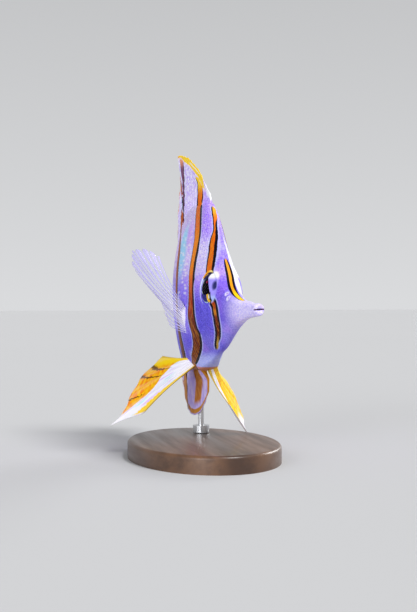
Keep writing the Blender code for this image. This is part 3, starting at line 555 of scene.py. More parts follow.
def orbit_skin(side):
    """The skin round one eye: a low rim behind, and a fold that covers the eye's front."""
    centre, turn = eye_frame(side)
    angle = np.linspace(0, 2 * math.pi, ORBIT_AROUND, endpoint=False)
    direction = np.stack([np.cos(angle), np.sin(angle)], 1)
    flat_point = np.column_stack([direction * 4.0, np.zeros(ORBIT_AROUND)]) @ turn.T + centre
    opening = eye_opening(flat_point, centre)
    front = smooth(-0.2, 0.9, (EYE_STATION - flat_point[:, 0]) / 4.0)

    def swell(radius):
        """How far the rim stands out in front at a radius."""
        return SWELL[0] * front * bump(radius - SWELL[1], SWELL[2])

    def lifted(radius, depth):
        """Rows of points at a radius and depth for every angle."""
        radius = np.broadcast_to(radius, (ORBIT_AROUND,))
        return np.column_stack([direction * radius[:, None], depth]) @ turn.T + centre

    rows = []
    for radius, lift, level in ORBIT_PROFILE:
        low = np.full(ORBIT_AROUND, -4.0)
        high = np.full(ORBIT_AROUND, 4.0)
        for _ in range(34):
            middle = (low + high) / 2
            point = lifted(radius, middle)
            outside = np.abs(point[:, 1]) > side_at(point[:, 0], point[:, 2])
            high = np.where(outside, middle, high)
            low = np.where(outside, low, middle)
        depth = (low + high) / 2 * (1 - level) + ORBIT_PLANE * level + lift
        rows.append(lifted(radius, depth + swell(radius)))
    inner, lift = ORBIT_PROFILE[-1][:2]
    edge = ORBIT_PLANE + lift + swell(inner)
    for step in range(1, COVER_ROWS + 1):
        radius = inner + (opening - inner) * step / COVER_ROWS
        folded = np.maximum(eye_dome(radius) + COVER, edge * (1 - 0.5 * step / COVER_ROWS))
        point = lifted(radius, folded)
        pit = np.hypot((point[:, 0] - PIT[0]) / PIT_RADII[0], (point[:, 2] - PIT[1]) / PIT_RADII[1])
        rows.append(lifted(radius, folded - PIT_DEPTH * bump(pit, 1.0)))
    for inward, drop in ((0.06, 0.05), (0.10, 0.16), (0.10, 0.5), (0.10, 1.2)):
        radius = opening - inward
        rows.append(lifted(radius, eye_dome(radius) + COVER - drop))
    points = np.concatenate(rows)
    faces = grid_faces(len(rows), ORBIT_AROUND, ring=True, flip=side > 0)
    return points, faces


def skin():
    """The one skin of head, gill covers, trunk and tail."""
    points, faces = body_skin()
    for side in (1, -1):
        more, rim_faces = orbit_skin(side)
        faces += (rim_faces + len(points)).tolist()
        points = np.concatenate([points, more])
    body = make_object("skin", points, faces)
    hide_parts("head", "gill_cover_left", "gill_cover_right", "trunk", "tail")
    return body


# Scales

SCALE_ACROSS = 5
SCALE_ALONG = 4
# Distance between rows and between the scales in a row, and the stations of the rows
BODY_SCALE = (1.15, 0.80)
BODY_ROWS = (36.8, 87.5)
CHEEK_SCALE = (0.80, 0.56)
CHEEK_ROWS = (21.5, 36.4)
# How far a root is set off its place, in distances; which part of the flank's height has scales
SCALE_JITTER = 0.03
SCALED = (0.035, 0.975)
EYE_CLEARANCE = 6.4
# A plate: least size and how much it varies, length and half width in distances, how much of it
# lies ahead of its root and how much shorter it is at its sides
PLATE_SIZES = (0.92, 0.16)
PLATE_LONG = 1.45
PLATE_WIDE = 0.62
PLATE_AHEAD = 0.25
PLATE_ROUND = 0.30
# How far its free end stands off, its root is sunk, its sides curve down and its underside lies
# below the skin
PLATE_LIFT = 0.055
PLATE_SUNK = 0.012
PLATE_DOME = 0.030
UNDERSIDE = 0.09
# The unwrap of a flank: its size for one unit along and up, how many units below the snout it
# starts, its first place for each side, and the size of a plate for one unit
UV_UNIT = (0.0048, 0.0105)
UV_BOTTOM = 40
UV_LEFT = 0.01
UV_RIGHT = 0.51
UV_PATCH = 0.00135


def scale_roots(pitch, stretch):
    """Roots of the scales in rows that run up the flank, each row set off by half a scale."""
    roots = []
    for number, station in enumerate(np.arange(*stretch, pitch[0])):
        low = float(BELLY(station))
        high = float(BACK(station))
        offset = (number % 2) * pitch[1] / 2
        heights = np.arange(low + offset, high, pitch[1])
        roots.append(np.column_stack([np.full(len(heights), station), heights]))
    roots = np.concatenate(roots)
    roots += RNG.normal(0, SCALE_JITTER, roots.shape) * pitch
    station, height = roots.T
    rise = (height - BELLY(station)) / (BACK(station) - BELLY(station))
    wanted = (rise > SCALED[0]) & (rise < SCALED[1])
    wanted &= np.hypot(station - EYE_STATION, height - EYE_HEIGHT) > EYE_CLEARANCE
    return roots[wanted]


def surface_points(station, height, side, lift):
    """Points above the body's flank, lifted along its normal."""
    step = 0.05
    wide = side_at(station, height)
    slope_s = (side_at(station + step, height) - side_at(station - step, height)) / (2 * step)
    slope_h = (side_at(station, height + step) - side_at(station, height - step)) / (2 * step)
    normal = np.stack([-slope_s, np.ones_like(slope_s), -slope_h], -1)
    normal = normal / np.linalg.norm(normal, axis=-1, keepdims=True)
    points = np.stack([station, wide, height], -1) + normal * lift[..., None]
    points[..., 1] *= side
    return points


def scales(name, side):
    """A coat of overlapping scales on one flank, each a small domed plate."""
    body = scale_roots(BODY_SCALE, BODY_ROWS)
    cheek = scale_roots(CHEEK_SCALE, CHEEK_ROWS)
    roots = np.concatenate([body, cheek])
    pitch = np.concatenate([np.tile(BODY_SCALE, (len(body), 1)), np.tile(CHEEK_SCALE, (len(cheek), 1))])
    across = np.linspace(-1, 1, SCALE_ACROSS)[None, :, None]
    along = np.linspace(0, 1, SCALE_ALONG)[None, None, :]
    size = (PLATE_SIZES[0] + PLATE_SIZES[1] * RNG.random(len(roots)))[:, None, None]
    long = pitch[:, 0][:, None, None] * PLATE_LONG * size
    wide = pitch[:, 1][:, None, None] * PLATE_WIDE * size
    reach = long * (along - PLATE_AHEAD) * (1 - PLATE_ROUND * across ** 2)
    station = roots[:, 0][:, None, None] + reach
    rounding = 0.75 + 0.25 * np.sin(math.pi * (0.2 + 0.6 * along))
    height = roots[:, 1][:, None, None] + wide * across * rounding
    lift = PLATE_LIFT * along - PLATE_SUNK - PLATE_DOME * across ** 2 * (0.4 + along)
    relief = skin_relief(np.stack([station, side_at(station, height), height], -1).reshape(-1, 3))
    relief = relief.reshape(station.shape)
    top = surface_points(station, height, side, lift + relief)
    rim = grid_rim(SCALE_ACROSS, SCALE_ALONG)
    first, second = np.divmod(rim, SCALE_ALONG)
    under = surface_points(station[:, first, second], height[:, first, second], side,
                           relief[:, first, second] - UNDERSIDE)
    count = len(roots)
    tops = SCALE_ACROSS * SCALE_ALONG
    each = tops + len(rim)
    points = np.concatenate([top.reshape(count, tops, 3), under], 1)
    faces = grid_faces(SCALE_ACROSS, SCALE_ALONG).tolist()
    for step, corner in enumerate(rim):
        after = (step + 1) % len(rim)
        faces.append([rim[after], corner, tops + step, tops + after])
    if side < 0:
        faces = [face[::-1] for face in faces]
    corners = np.array(faces)
    all_faces = (corners[None] + np.arange(count)[:, None, None] * each).reshape(-1, 4)
    cap = list(range(tops, each))
    if side < 0:
        cap = cap[::-1]
    caps = (np.array(cap)[None] + np.arange(count)[:, None] * each).tolist()
    piece = make_object(name, points.reshape(-1, 3), all_faces.tolist() + caps)
    uv_patches(piece, roots, points.shape[1], side)
    return piece


def uv_patches(piece, roots, each, side):
    """A small patch for each plate at its root's place on an unwrap of the flank."""
    layer = piece.data.uv_layers.new(name="OFBake")
    corners = np.empty(len(piece.data.loops), np.int32)
    piece.data.loops.foreach_get("vertex_index", corners)
    layout = np.empty(len(piece.data.vertices) * 3, np.float32)
    piece.data.attributes["layout"].data.foreach_get("vector", layout)
    layout = layout.reshape(-1, 3)
    root = roots[corners // each]
    start = UV_LEFT if side > 0 else UV_RIGHT
    u = start + root[:, 0] * UV_UNIT[0] + (layout[corners, 0] - root[:, 0]) * UV_PATCH
    v = (root[:, 1] + UV_BOTTOM) * UV_UNIT[1] + (layout[corners, 2] - root[:, 1]) * UV_PATCH
    layer.data.foreach_set("uv", np.column_stack([u, v]).astype(np.float32).ravel())


# Fins

FIN_SUBDIVIDE = 8
# Half thicknesses in metres, and what is left of a ray's ridge at its tip
MEMBRANE = 0.00011
SPINE_RIDGE = 0.00046
RAY_RIDGE = 0.00030
RAY_TAPER = 0.25
ROOT_SHEATH = 0.00105
CAUDAL_SHEATH = 0.0009
PAIRED_SHEATH = 0.0006


def ray_ridge(column, row, spines):
    """1 on the crest of a ray or its branches and 0 on the membrane."""
    near = np.round(column)
    across = column - near
    single = bump(across, 0.13)
    split = 0.20 * smooth(0.35, 1.0, row)
    twice = 0.085 * smooth(0.68, 1.0, row)
    branches = np.zeros_like(across)
    for first in (-1, 1):
        for second in (-1, 1):
            branch = bump(across - first * split - second * twice, 0.085)
            branches = np.maximum(branches, branch)
    soft = np.where(row < 0.35, single, np.maximum(branches, single * (1 - smooth(0.35, 0.5, row))))
    return np.where(near < spines, bump(across, 0.16), soft)


def fin_piece(name, count, rows, point, facing, spines, sheath, node):
    """A closed fin with rays raised on both faces of a thin membrane.

    point gives places of the middle surface for arrays of column and row, and facing
    the direction in which each column's faces look.
    """
    columns = np.linspace(0, count - 1, (count - 1) * FIN_SUBDIVIDE + 1)
    levels = np.linspace(0, 1, rows)
    column, row = np.meshgrid(columns, levels, indexing="ij")
    centre = point(column, row)
    ridge = ray_ridge(column, row, spines)
    crest = np.where(np.round(column) < spines, SPINE_RIDGE, RAY_RIDGE)
    crest = crest * (1 - (1 - RAY_TAPER) * row)
    half = MEMBRANE * (1 - 0.4 * row) + crest * ridge
    half = half + (sheath - MEMBRANE) * (1 - smooth(0.0, 0.38, row)) * (0.55 + 0.45 * ridge)
    half = half / UNIT
    look = facing(columns)[:, None, :]
    front = centre + look * half[..., None]
    rear = centre - look * half[..., None]
    wide, long = column.shape
    total = wide * long
    points = np.concatenate([front.reshape(-1, 3), rear.reshape(-1, 3)])
    faces = grid_faces(wide, long).tolist()
    faces += grid_faces(wide, long, start=total, flip=True).tolist()
    rim = grid_rim(wide, long)
    for step, corner in enumerate(rim):
        after = rim[(step + 1) % len(rim)]
        faces.append([after, corner, corner + total, after + total])
    body = make_object(name, points, faces)
    shape = bmesh.new()
    shape.from_mesh(body.data)
    bmesh.ops.recalc_face_normals(shape, faces=shape.faces)
    shape.to_mesh(body.data)
    shape.free()
    body.data.shade_smooth()
    fin = np.stack([column / (count - 1), row, ridge], -1).reshape(-1, 3)
    set_vectors(body.data, "fin", np.concatenate([fin, fin]))
    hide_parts(node)
    return body


def notch_depth(column, spines, spiny, soft):
    """How far a fin's edge dips between its rays."""
    across = np.abs(column - np.round(column)) * 2
    depth = np.where(column < spines - 1, spiny, soft)
    return 1 - depth * smooth(0.15, 1.0, across)


def sideways(columns):
    """The direction in which a median fin's faces look, for each column."""
    return np.tile([0.0, 1.0, 0.0], (len(columns), 1))


def median_fin(name, table, spines, root_height, away, node, lean_sideways):
    """The dorsal or anal fin. away is 1 for a fin that points up and -1 for one that points down."""
    base = curve(table, 1)
    tip_station = curve(table, 2)
    tip_height = curve(table, 3)

    def point(column, row):
        start = base(column)
        reach = row * notch_depth(column, spines, 0.018, 0.006)
        foot = root_height(start) - away * 0.5
        lean = 0.10 * np.sin(math.pi * row) * (tip_height(column) - foot) * away
        station = start + (tip_station(column) - start) * reach - lean * 0.35
        ripple = 0.10 * np.sin(column * 2.1 + row * 2.0) * row ** 2
        side = ripple + lean_sideways(column) * smooth(0.0, 0.5, row)
        return np.stack([station, side, foot + (tip_height(column) - foot) * reach], -1)

    return fin_piece(name, table[-1][0] + 1, 64, point, sideways, spines, ROOT_SHEATH, node)


def caudal_fin():
    """The tail fin, a fan of rays with a nearly straight rear edge."""
    last = CAUDAL_RAYS - 1
    start = TAIL_END - 0.8

    def point(column, row):
        part = 2 * column / last - 1
        low, high = CAUDAL_ROOT
        root = (low + high) / 2 + part * (high - low) / 2
        end = CAUDAL_MIDDLE - (CAUDAL_MIDDLE - CAUDAL_CORNER) * part ** 2
        reach = row * notch_depth(column, 0, 0, 0.02)
        height = root + (part * CAUDAL_SPREAD - root) * reach ** 0.9
        ripple = 0.12 * np.sin(column * 1.3) * row ** 2
        return np.stack([start + (end - start) * reach, ripple, height], -1)

    return fin_piece("caudal_fin_skin", CAUDAL_RAYS, 56, point, sideways, 0, CAUDAL_SHEATH,
                     "caudal_fin")


def paired_fin(name, side, root, tips, count, bow, spines, sink, node):
    """A pectoral or pelvic fin: rays that fan out from a short root on the flank.

    bow is how far the rays bulge outward, and sink moves the root into the body.
    """
    back, out, up = curve(tips, 1), curve(tips, 2), curve(tips, 3)
    first, last = np.array(root[0]), np.array(root[1])
    middle = (first + last) / 2

    def reach_to(column):
        return np.stack([back(column), out(column), up(column)], -1)

    def point(column, row):
        start = first + (last - first) * (column / (count - 1))[..., None] + np.array(sink)
        tip = middle + reach_to(column) * notch_depth(column, spines, 0.05, 0.03)[..., None]
        centre = start + (tip - start) * row[..., None]
        centre[..., 1] += bow * np.sin(math.pi * row)
        centre[..., 1] *= side
        return centre

    def facing(columns):
        before = reach_to(np.clip(columns - 0.5, 0, count - 1))
        after = reach_to(np.clip(columns + 0.5, 0, count - 1))
        before /= np.linalg.norm(before, axis=1, keepdims=True)
        after /= np.linalg.norm(after, axis=1, keepdims=True)
        middle_ray = reach_to(columns)
        normal = np.cross(middle_ray, after - before)
        normal /= np.linalg.norm(normal, axis=1, keepdims=True)
        normal[:, 1] *= side
        return normal

    return fin_piece(name, count, 56, point, facing, spines, PAIRED_SHEATH, node)


# Eyes

# The cornea's thickness over the ball's top, and its gap to the ball at the side and below
CORNEA_THICKNESS = 0.16
CORNEA_GAP = (0.05, 0.02)
# How far ball and cornea are pressed in under the skin's fold
FOLD_PRESS = 0.75


def eye(side):
    """The eyeball under a clear cornea; the skin's fold covers the front of both."""
    centre, turn = eye_frame(side)
    word = "left" if side > 0 else "right"
    around = 128

    def dome(name, rings, bulge, radius, sink, limit=math.pi):
        angle = np.linspace(0, 2 * math.pi, around, endpoint=False)
        rows = []
        for tilt in np.linspace(0.02, limit, rings):
            reach = radius * math.sin(tilt)
            level = math.cos(tilt) * (bulge if tilt < math.pi / 2 else EYE_DEPTH) - sink
            ring = [reach * np.cos(angle), reach * np.sin(angle), np.full(around, level)]
            rows.append(np.stack(ring, 1))
        local = np.concatenate(rows)
        points = local @ turn.T + centre
        under = smooth(0.15, 0.7, np.hypot(local[:, 0], local[:, 1]) - eye_opening(points, centre))
        local[:, 2] -= under * FOLD_PRESS
        faces = tube_faces(rings, around, flip=side > 0)
        return make_object(name, local @ turn.T + centre, faces)

    ball = dome("eyeball_" + word, 70, EYE_BULGE - CORNEA_THICKNESS, EYE_RADIUS - CORNEA_GAP[0],
                EYE_SINK + CORNEA_GAP[1])
    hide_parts("eye_" + word)
    cornea = dome("cornea_" + word, 50, EYE_BULGE, EYE_RADIUS, EYE_SINK, limit=math.pi * 0.56)
    return ball, cornea


# Stand, floor, lights and camera

def stand_base():
    """The oval wooden plate, with a softly rounded top edge."""
    sides = 180
    edge = [(0.0, 0.0), (0.0, BASE_SHOULDER)]
    for step in range(1, 9):
        angle = math.pi / 2 * step / 8
        inset = BASE_ROUNDING * (1 - math.cos(angle))
        edge.append((inset, BASE_SHOULDER + BASE_ROUNDING * math.sin(angle)))
    points = []
    for inset, level in edge:
        long, short = (half - inset for half in BASE_HALF)
        for step in range(sides):
            angle = 2 * math.pi * step / sides
            points.append((long * math.cos(angle), short * math.sin(angle), level))
    faces = grid_faces(len(edge), sides, ring=True).tolist()
    faces.append(list(range(sides))[::-1])
    faces.append(list(range((len(edge) - 1) * sides, len(edge) * sides)))
    base = make_object("stand_base_wood", points, faces, straight=False)
    base.data.set_sharp_from_angle(angle=math.radians(40))
    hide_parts("stand_base")
    return base


def floor():
    """A plain pale floor that runs far out."""
    mesh = bpy.data.meshes.new("floor")
    half = 6.0
    corners = [(-half, -half, 0), (half, -half, 0), (half, half, 0), (-half, half, 0)]
    mesh.from_pydata(corners, [], [(0, 1, 2, 3)])
    plane = bpy.data.objects.new("floor", mesh)
    bpy.context.scene.collection.objects.link(plane)
    return plane


def camera_axes():
    """Right, up and back directions of the camera in the fish's unbanked frame."""
    yaw, pitch, roll = (math.radians(turn) for turn in (CAMERA_YAW, CAMERA_PITCH, CAMERA_ROLL))
    back = np.array([math.cos(yaw) * math.cos(pitch), -math.sin(yaw) * math.cos(pitch), math.sin(pitch)])
    flat = np.array([math.sin(yaw), math.cos(yaw), 0.0])
    upright = np.cross(back, flat)
    right = flat * math.cos(roll) + upright * math.sin(roll)
    up = -flat * math.sin(roll) + upright * math.cos(roll)
    return right, up, back


def camera():
    """A camera at the photograph's viewing angle."""
    right, up, back = camera_axes()
    spot = back * CAMERA_DISTANCE + right * CAMERA_SHIFT[0] + up * CAMERA_SHIFT[1]
    right, up, back, spot = (bank(part) for part in (right, up, back, spot))
    data = bpy.data.cameras.new("camera")
    data.lens = FOCAL
    data.sensor_width = 36
    data.clip_start = 0.01
    data.clip_end = 50
    eye_point = bpy.data.objects.new("camera", data)
    matrix = Matrix([[right[row], up[row], back[row], 0] for row in range(3)] + [[0, 0, 0, 1]])
    matrix.translation = Vector(spot * UNIT + np.array([MIDDLE_OFFSET, 0, LIFT]))
    eye_point.matrix_world = matrix
    bpy.context.scene.collection.objects.link(eye_point)
    bpy.context.scene.camera = eye_point


def lights():
    """A broad soft key light, a fill, a weak rim light and a pale surround."""
    for name, direction, power, softness, colour in (
            ("key", (0.50, 0.30, 0.81), 2.5, 20.0, (1.0, 0.99, 0.98)),
            ("fill", (0.70, -0.68, 0.22), 1.5, 35.0, (0.96, 0.97, 1.0)),
            ("rim", (-0.55, 0.75, 0.35), 0.9, 20.0, (1.0, 1.0, 1.0))):
        data = bpy.data.lights.new(name, "SUN")
        data.energy = power
        data.angle = math.radians(softness)
        data.color = colour
        lamp = bpy.data.objects.new(name, data)
        lamp.rotation_mode = "QUATERNION"
        lamp.rotation_quaternion = Vector(direction).to_track_quat("Z", "Y")
        bpy.context.scene.collection.objects.link(lamp)
    world = bpy.data.worlds.new("surround")
    world.use_nodes = True
    tree = world.node_tree
    split = tree.nodes.new("ShaderNodeSeparateXYZ")
    tree.links.new(tree.nodes.new("ShaderNodeTexCoord").outputs["Generated"], split.inputs[0])
    ramp = tree.nodes.new("ShaderNodeMapRange")
    tree.links.new(split.outputs[2], ramp.inputs["Value"])
    for key, value in (("From Min", 0.0), ("From Max", 0.7), ("To Min", 0.72), ("To Max", 0.34)):
        ramp.inputs[key].default_value = value
    background = tree.nodes["Background"]
    background.inputs["Color"].default_value = (0.97, 0.98, 1.0, 1)
    tree.links.new(ramp.outputs[0], background.inputs["Strength"])
    bpy.context.scene.world = world
    bpy.context.scene.view_settings.view_transform = "Standard"


# Materials

class Value:
    """A number or colour in a material's node tree. Arithmetic with it adds nodes."""

    def __init__(self, paint, socket):
        self.paint = paint
        self.socket = socket

    def math(self, operation, other=0.0):
        return self.paint.node("ShaderNodeMath", {0: self, 1: other}, operation=operation)

    def __add__(self, other):
        return self.math("ADD", other)

    def __sub__(self, other):
        return self.math("SUBTRACT", other)

    def __mul__(self, other):
        return self.math("MULTIPLY", other)

    def __truediv__(self, other):
        return self.math("DIVIDE", other)

    def __abs__(self):
        return self.math("ABSOLUTE")

    def step(self, low, high, start=0.0, end=1.0):
        """start where this value is low, end where it is high and an S-curve between."""
        inputs = {"Value": self, "From Min": low, "From Max": high, "To Min": start, "To Max": end}
        return self.paint.node("ShaderNodeMapRange", inputs, interpolation_type="SMOOTHSTEP")

    def mix(self, amount, other):
        """This colour, turned into another by an amount."""
        return self.paint.mix(amount, self, other)


class Paint:
    """Builds one node material. Sockets of its shader are set by name at the start."""

    def __init__(self, name, **sockets):
        self.material = bpy.data.materials.new(name)
        self.material.use_nodes = True
        self.tree = self.material.node_tree
        self.shader = self.tree.nodes["Principled BSDF"].inputs
        for key, value in sockets.items():
            self.shader[key.replace("_", " ")].default_value = value
        self.known = {}

    def feed(self, socket, value):
        """Links a value to a socket, or sets the socket's own number or colour."""
        if isinstance(value, Value):
            self.tree.links.new(value.socket, socket)
        elif socket.type == "RGBA":
            socket.default_value = (*value, 1.0)
        else:
            socket.default_value = value

    def node(self, kind, inputs, output=0, **settings):
        """The output of a new node."""
        made = self.tree.nodes.new(kind)
        for key, value in settings.items():
            setattr(made, key, value)
        for key, value in inputs.items():
            self.feed(made.inputs[key], value)
        return Value(self, made.outputs[output])

    def mix(self, amount, first, second):
        """One colour turned into another. 6 and 7 are the node's colour inputs, 2 its output."""
        return self.node("ShaderNodeMix", {0: amount, 6: first, 7: second}, 2, data_type="RGBA")

    def attribute(self, name):
        return self.node("ShaderNodeAttribute", {}, "Vector", attribute_name=name)

    def parts(self, name="layout"):
        """The three numbers of a stored vector: of the layout station, side and height."""
        if name not in self.known:
            first = self.node("ShaderNodeSeparateXYZ", {0: self.attribute(name)})
            self.known[name] = [Value(self, socket) for socket in first.socket.node.outputs]
        return self.known[name]

    def fin(self, last):
        """Ray number, the part of the way to the tip, and the height of the rays' ridges."""
        part, row, ridge = self.parts("fin")
        return part * float(last), row, ridge

    def distance(self, at, radii=(1.0, 1.0)):
        """How far the layout lies from a station and height, in the given radii."""
        across = (self.parts()[0] - at[0]) / radii[0]
        along = (self.parts()[2] - at[1]) / radii[1]
        return (across.math("POWER", 2.0) + along.math("POWER", 2.0)).math("SQRT")

    def stretched(self, stretch, source):
        """The layout or another vector, multiplied by a factor for each of its numbers."""
        vector = source or self.attribute("layout")
        if stretch is None:
            return vector
        return self.node("ShaderNodeVectorMath", {0: vector, 1: stretch}, operation="MULTIPLY")

    def noise(self, scale, detail=3.0, roughness=0.5, stretch=None, source=None):
        inputs = {"Vector": self.stretched(stretch, source), "Scale": scale, "Detail": detail}
        return self.node("ShaderNodeTexNoise", {**inputs, "Roughness": roughness}, "Fac")

    def cells(self, scale, stretch):
        inputs = {"Vector": self.stretched(stretch, None), "Scale": scale}
        return self.node("ShaderNodeTexVoronoi", inputs, "Distance")

    def done(self, colour=None, roughness=None, relief=None, strength=0.0, distance=0.0):
        """The material, with its colour, roughness and bump where they are given."""
        if colour is not None:
            self.feed(self.shader["Base Color"], colour)
        if roughness is not None:
            self.feed(self.shader["Roughness"], roughness)
        if relief is not None:
            inputs = {"Strength": strength, "Distance": distance, "Height": relief}
            self.feed(self.shader["Normal"], self.node("ShaderNodeBump", inputs))
        return self.material


NEAR_WHITE = (0.90, 0.87, 1.0)
# Colour of a painted sheen, a painted reflection of light on the flank
PAINTED_CYAN_SHEEN = (0.34, 0.74, 1.0)
# Pink for random mottling of the body's own tone and for a painted sheen on the flank
PINK_TONE_AND_PAINTED_SHEEN = (0.62, 0.26, 0.95)
EDGE_WHITE = (0.62, 0.68, 1.0)
YELLOW = (0.98, 0.62, 0.004)
AMBER = (0.90, 0.34, 0.012)
ORANGE = (0.76, 0.14, 0.004)
SCARLET = (0.36, 0.030, 0.003)
RUST = (0.13, 0.014, 0.002)
OLIVE = (0.50, 0.30, 0.05)
BLACK = (0.004, 0.003, 0.008)
FIN_LAVENDER = ((0.52, 0.38, 0.94), (0.84, 0.80, 1.0))
SATIN = {"Coat_Weight": 0.04, "Coat_Roughness": 0.25, "Coat_IOR": 1.3, "IOR": 1.12}


def lay_band(paint, colour, name, fill, wobble=0.0, rear_line=0.30):
    """One band over a colour: the fill, black in front, a black line behind and pale outlines."""
    along, orange, black = paint.parts(name)
    along = along + wobble
    behind = along - orange
    outside = (behind - rear_line).math("MAXIMUM", along * -1.0 - black)
    shown = (orange + black).step(0.05, 0.6)
    colour = colour.mix(outside.step(0.20, 0.85, 0.55, 0.0) * shown, EDGE_WHITE)
    colour = colour.mix(outside.step(-0.12, 0.16, 1.0, 0.0) * shown, BLACK)
    inner = behind.step(-0.12, 0.12, 1.0, 0.0) * along.step(-0.14, 0.14) * shown
    return colour.mix(inner, fill)


def lay_bands(paint, colour, unevenness):
    """All the bands, in orange that turns to rust low on the flank and yellow at the top."""
    height = paint.parts()[2]
    wobble = (paint.noise(1.6, 2.0) - 0.5) * unevenness
    streaks = paint.noise(1.3, stretch=(1.6, 0.5, 0.30))
    fill = paint.mix(height.step(2.0, 10.0), SCARLET, ORANGE)
    fill = fill.mix(height.step(1.0, -4.0), RUST)
    fill = fill.mix(streaks.step(0.45, 0.66) * 0.35, AMBER)
    eye_fill = fill.mix(height.step(24.0, 27.5), (0.95, 0.45, 0.03))
    eye_fill = eye_fill.mix(abs(height + 0.8).step(1.3, 0.3) * 0.55, AMBER)
    eye_fill = eye_fill.mix(height.step(-6.5, -9.0), OLIVE)
    gill_fill = fill.mix(height.step(32.0, 36.0), YELLOW)
    middle = height.step(8.0, 12.5) * height.step(24.0, 19.0)
    gill_fill = gill_fill.mix(middle * 0.75, (0.92, 0.28, 0.0))
    gill_fill = gill_fill.mix(height.step(-15.0, -16.6), (0.45, 0.13, 0.01))
    rear_fill = fill.mix(0.5, RUST)
    flank_fill = rear_fill.mix(height.step(24.0, 30.0), (0.20, 0.07, 0.16))
    flank_fill = flank_fill.mix(height.step(42.0, 45.0), (0.80, 0.30, 0.16))
    colour = lay_band(paint, colour, "flank_band", flank_fill, wobble)
    colour = lay_band(paint, colour, "rear_band", rear_fill, wobble)
    colour = lay_band(paint, colour, "tail_band", BLACK, wobble)
    colour = lay_band(paint, colour, "gill_band", gill_fill, wobble, 0.38)
    return lay_band(paint, colour, "eye_band", eye_fill, wobble, height.step(4.5, 1.5, 0.55, 0.95))


def lay_stripe(paint, colour):
    """The black-edged orange stripe down the forehead."""
    station, side, height = paint.parts()
    away, half, edge = paint.parts("stripe")
    shown = station.step(23.4, 22.8) * station.step(9.0, 10.0) * height.step(-0.5, 0.5)
    away = away - half
    colour = colour.mix((away - edge).step(-0.08, 0.08, 1.0, 0.0) * shown, BLACK)
    fill = paint.mix(station.step(17.5, 14.5), AMBER, YELLOW)
    return colour.mix(away.step(-0.08, 0.08, 1.0, 0.0) * shown, fill)


def lay_spot(paint, colour):
    """The ringed eye-spot on the rear of the dorsal fin."""
    distance = paint.distance(OCELLUS[:2], (OCELLUS[2], OCELLUS[2]))
    colour = colour.mix(distance.step(1.18, 1.24, 1.0, 0.0), EDGE_WHITE)
    return colour.mix(distance.step(0.96, 1.03, 1.0, 0.0), BLACK)


def pearl(paint):
    """The mottled lavender of the body, darker below the eye and pale on the snout, with a painted cyan and
    pink sheen on the flank, painted shade on the brow and painted light on the belly.
    """
    station, side, height = paint.parts()
    light = paint.noise(1.9, 4.0, 0.7, (1.0, 1.0, 1.3)).step(0.36, 0.64)
    # The flank's own colour starts behind the gill band, and further back low on the body
    flank = (station - height.step(-8.0, -13.0, 0.0, 8.0)).step(38.5, 42.0)

    def tint(dark, pale):
        return paint.mix(light, dark, pale)

    colour = tint((0.34, 0.17, 1.0), (0.60, 0.45, 1.0))
    for amount, dark, pale in (
            # Between the bands above the eye
            (height.step(7.0, 12.0) * height.step(22.0, 16.0) * station.step(25.0, 28.0) * 0.7,
             (0.62, 0.55, 1.0), (1.0, 0.98, 1.0)),
            # Below the eye, and lower
            (height.step(9.0, 1.0), (0.07, 0.05, 0.58), (0.19, 0.15, 0.94)),
            (height.step(-5.0, -9.0), (0.12, 0.10, 0.68), (0.27, 0.22, 0.95)),
            # Cheek, brow, throat, snout and belly
            (station.step(22.6, 20.6) * height.step(11.0, 6.0),
             (0.11, 0.065, 0.62), (0.23, 0.155, 0.84)),
            # Brow darkened against the key and rim light that fall on it: painted shade
            (station.step(29.0, 27.5) * height.step(9.0, 13.0) * 0.85,
             (0.20, 0.13, 0.88), (0.36, 0.28, 1.0)),
            (station.step(27.0, 20.0) * height.step(-2.0, -6.0) * 0.7,
             (0.27, 0.23, 0.84), (0.42, 0.38, 0.96)),
            (station.step(19.5, 9.0) * 0.92, (0.57, 0.50, 1.0), (0.84, 0.77, 1.0)),
            # Belly: its own paler colour, brightened further where it lies in shade as painted light
            (height.step(-11.0, -14.5) * 0.92, (0.38, 0.43, 1.0), (0.56, 0.62, 1.0))):
        colour = colour.mix(amount, tint(dark, pale))
    rear = paint.mix(height.step(4.0, 16.0), tint((0.20, 0.13, 0.98), (0.42, 0.32, 1.0)),
                     tint((0.56, 0.33, 1.0), (0.90, 0.78, 1.0)))
    rear = rear.mix(height.step(-4.0, -9.0), tint((0.09, 0.06, 0.66), (0.19, 0.14, 0.92)))
    colour = colour.mix(flank, rear)
    # A cyan patch on the flank: painted sheen, a painted reflection of light
    painted_sheen = paint.distance((48.0, 17.0), (6.5, 11.0)).step(1.0, 0.35)
    colour = colour.mix(painted_sheen * flank * 0.92, PAINTED_CYAN_SHEEN)
    # A pink patch beside it: painted sheen as well, a painted reflection of light
    pink_painted_sheen = paint.distance((43.5, 23.0), (3.0, 8.0)).step(1.0, 0.3)
    colour = colour.mix(pink_painted_sheen * flank * 0.6, PINK_TONE_AND_PAINTED_SHEEN)
    # Rows of pale scales, their paler colour with painted reflections of the light on them, and the fin's
    # colour on the back
    rows = paint.cells(1.0, (0.30, 0.30, 0.95)).step(0.50, 0.15) * height.step(-1.0, 4.0)
    colour = colour.mix(rows * height.step(27.0, 14.0) * flank * 0.75, NEAR_WHITE)
    colour = colour.mix(height.step(21.0, 27.0) * flank, tint(*FIN_LAVENDER))
    keel = height.step(-16.4, -16.9) * side.step(3.2, 2.7) * station.step(40.0, 42.0)
    colour = colour.mix(keel * 0.9, (0.66, 0.20, 0.004))
    # Broad random pink mottling of the body's own tone
    broad = paint.noise(0.40, 2.0, stretch=(0.5, 0.5, 0.35))
    return colour.mix(broad.step(0.50, 0.30) * 0.2, PINK_TONE_AND_PAINTED_SHEEN)


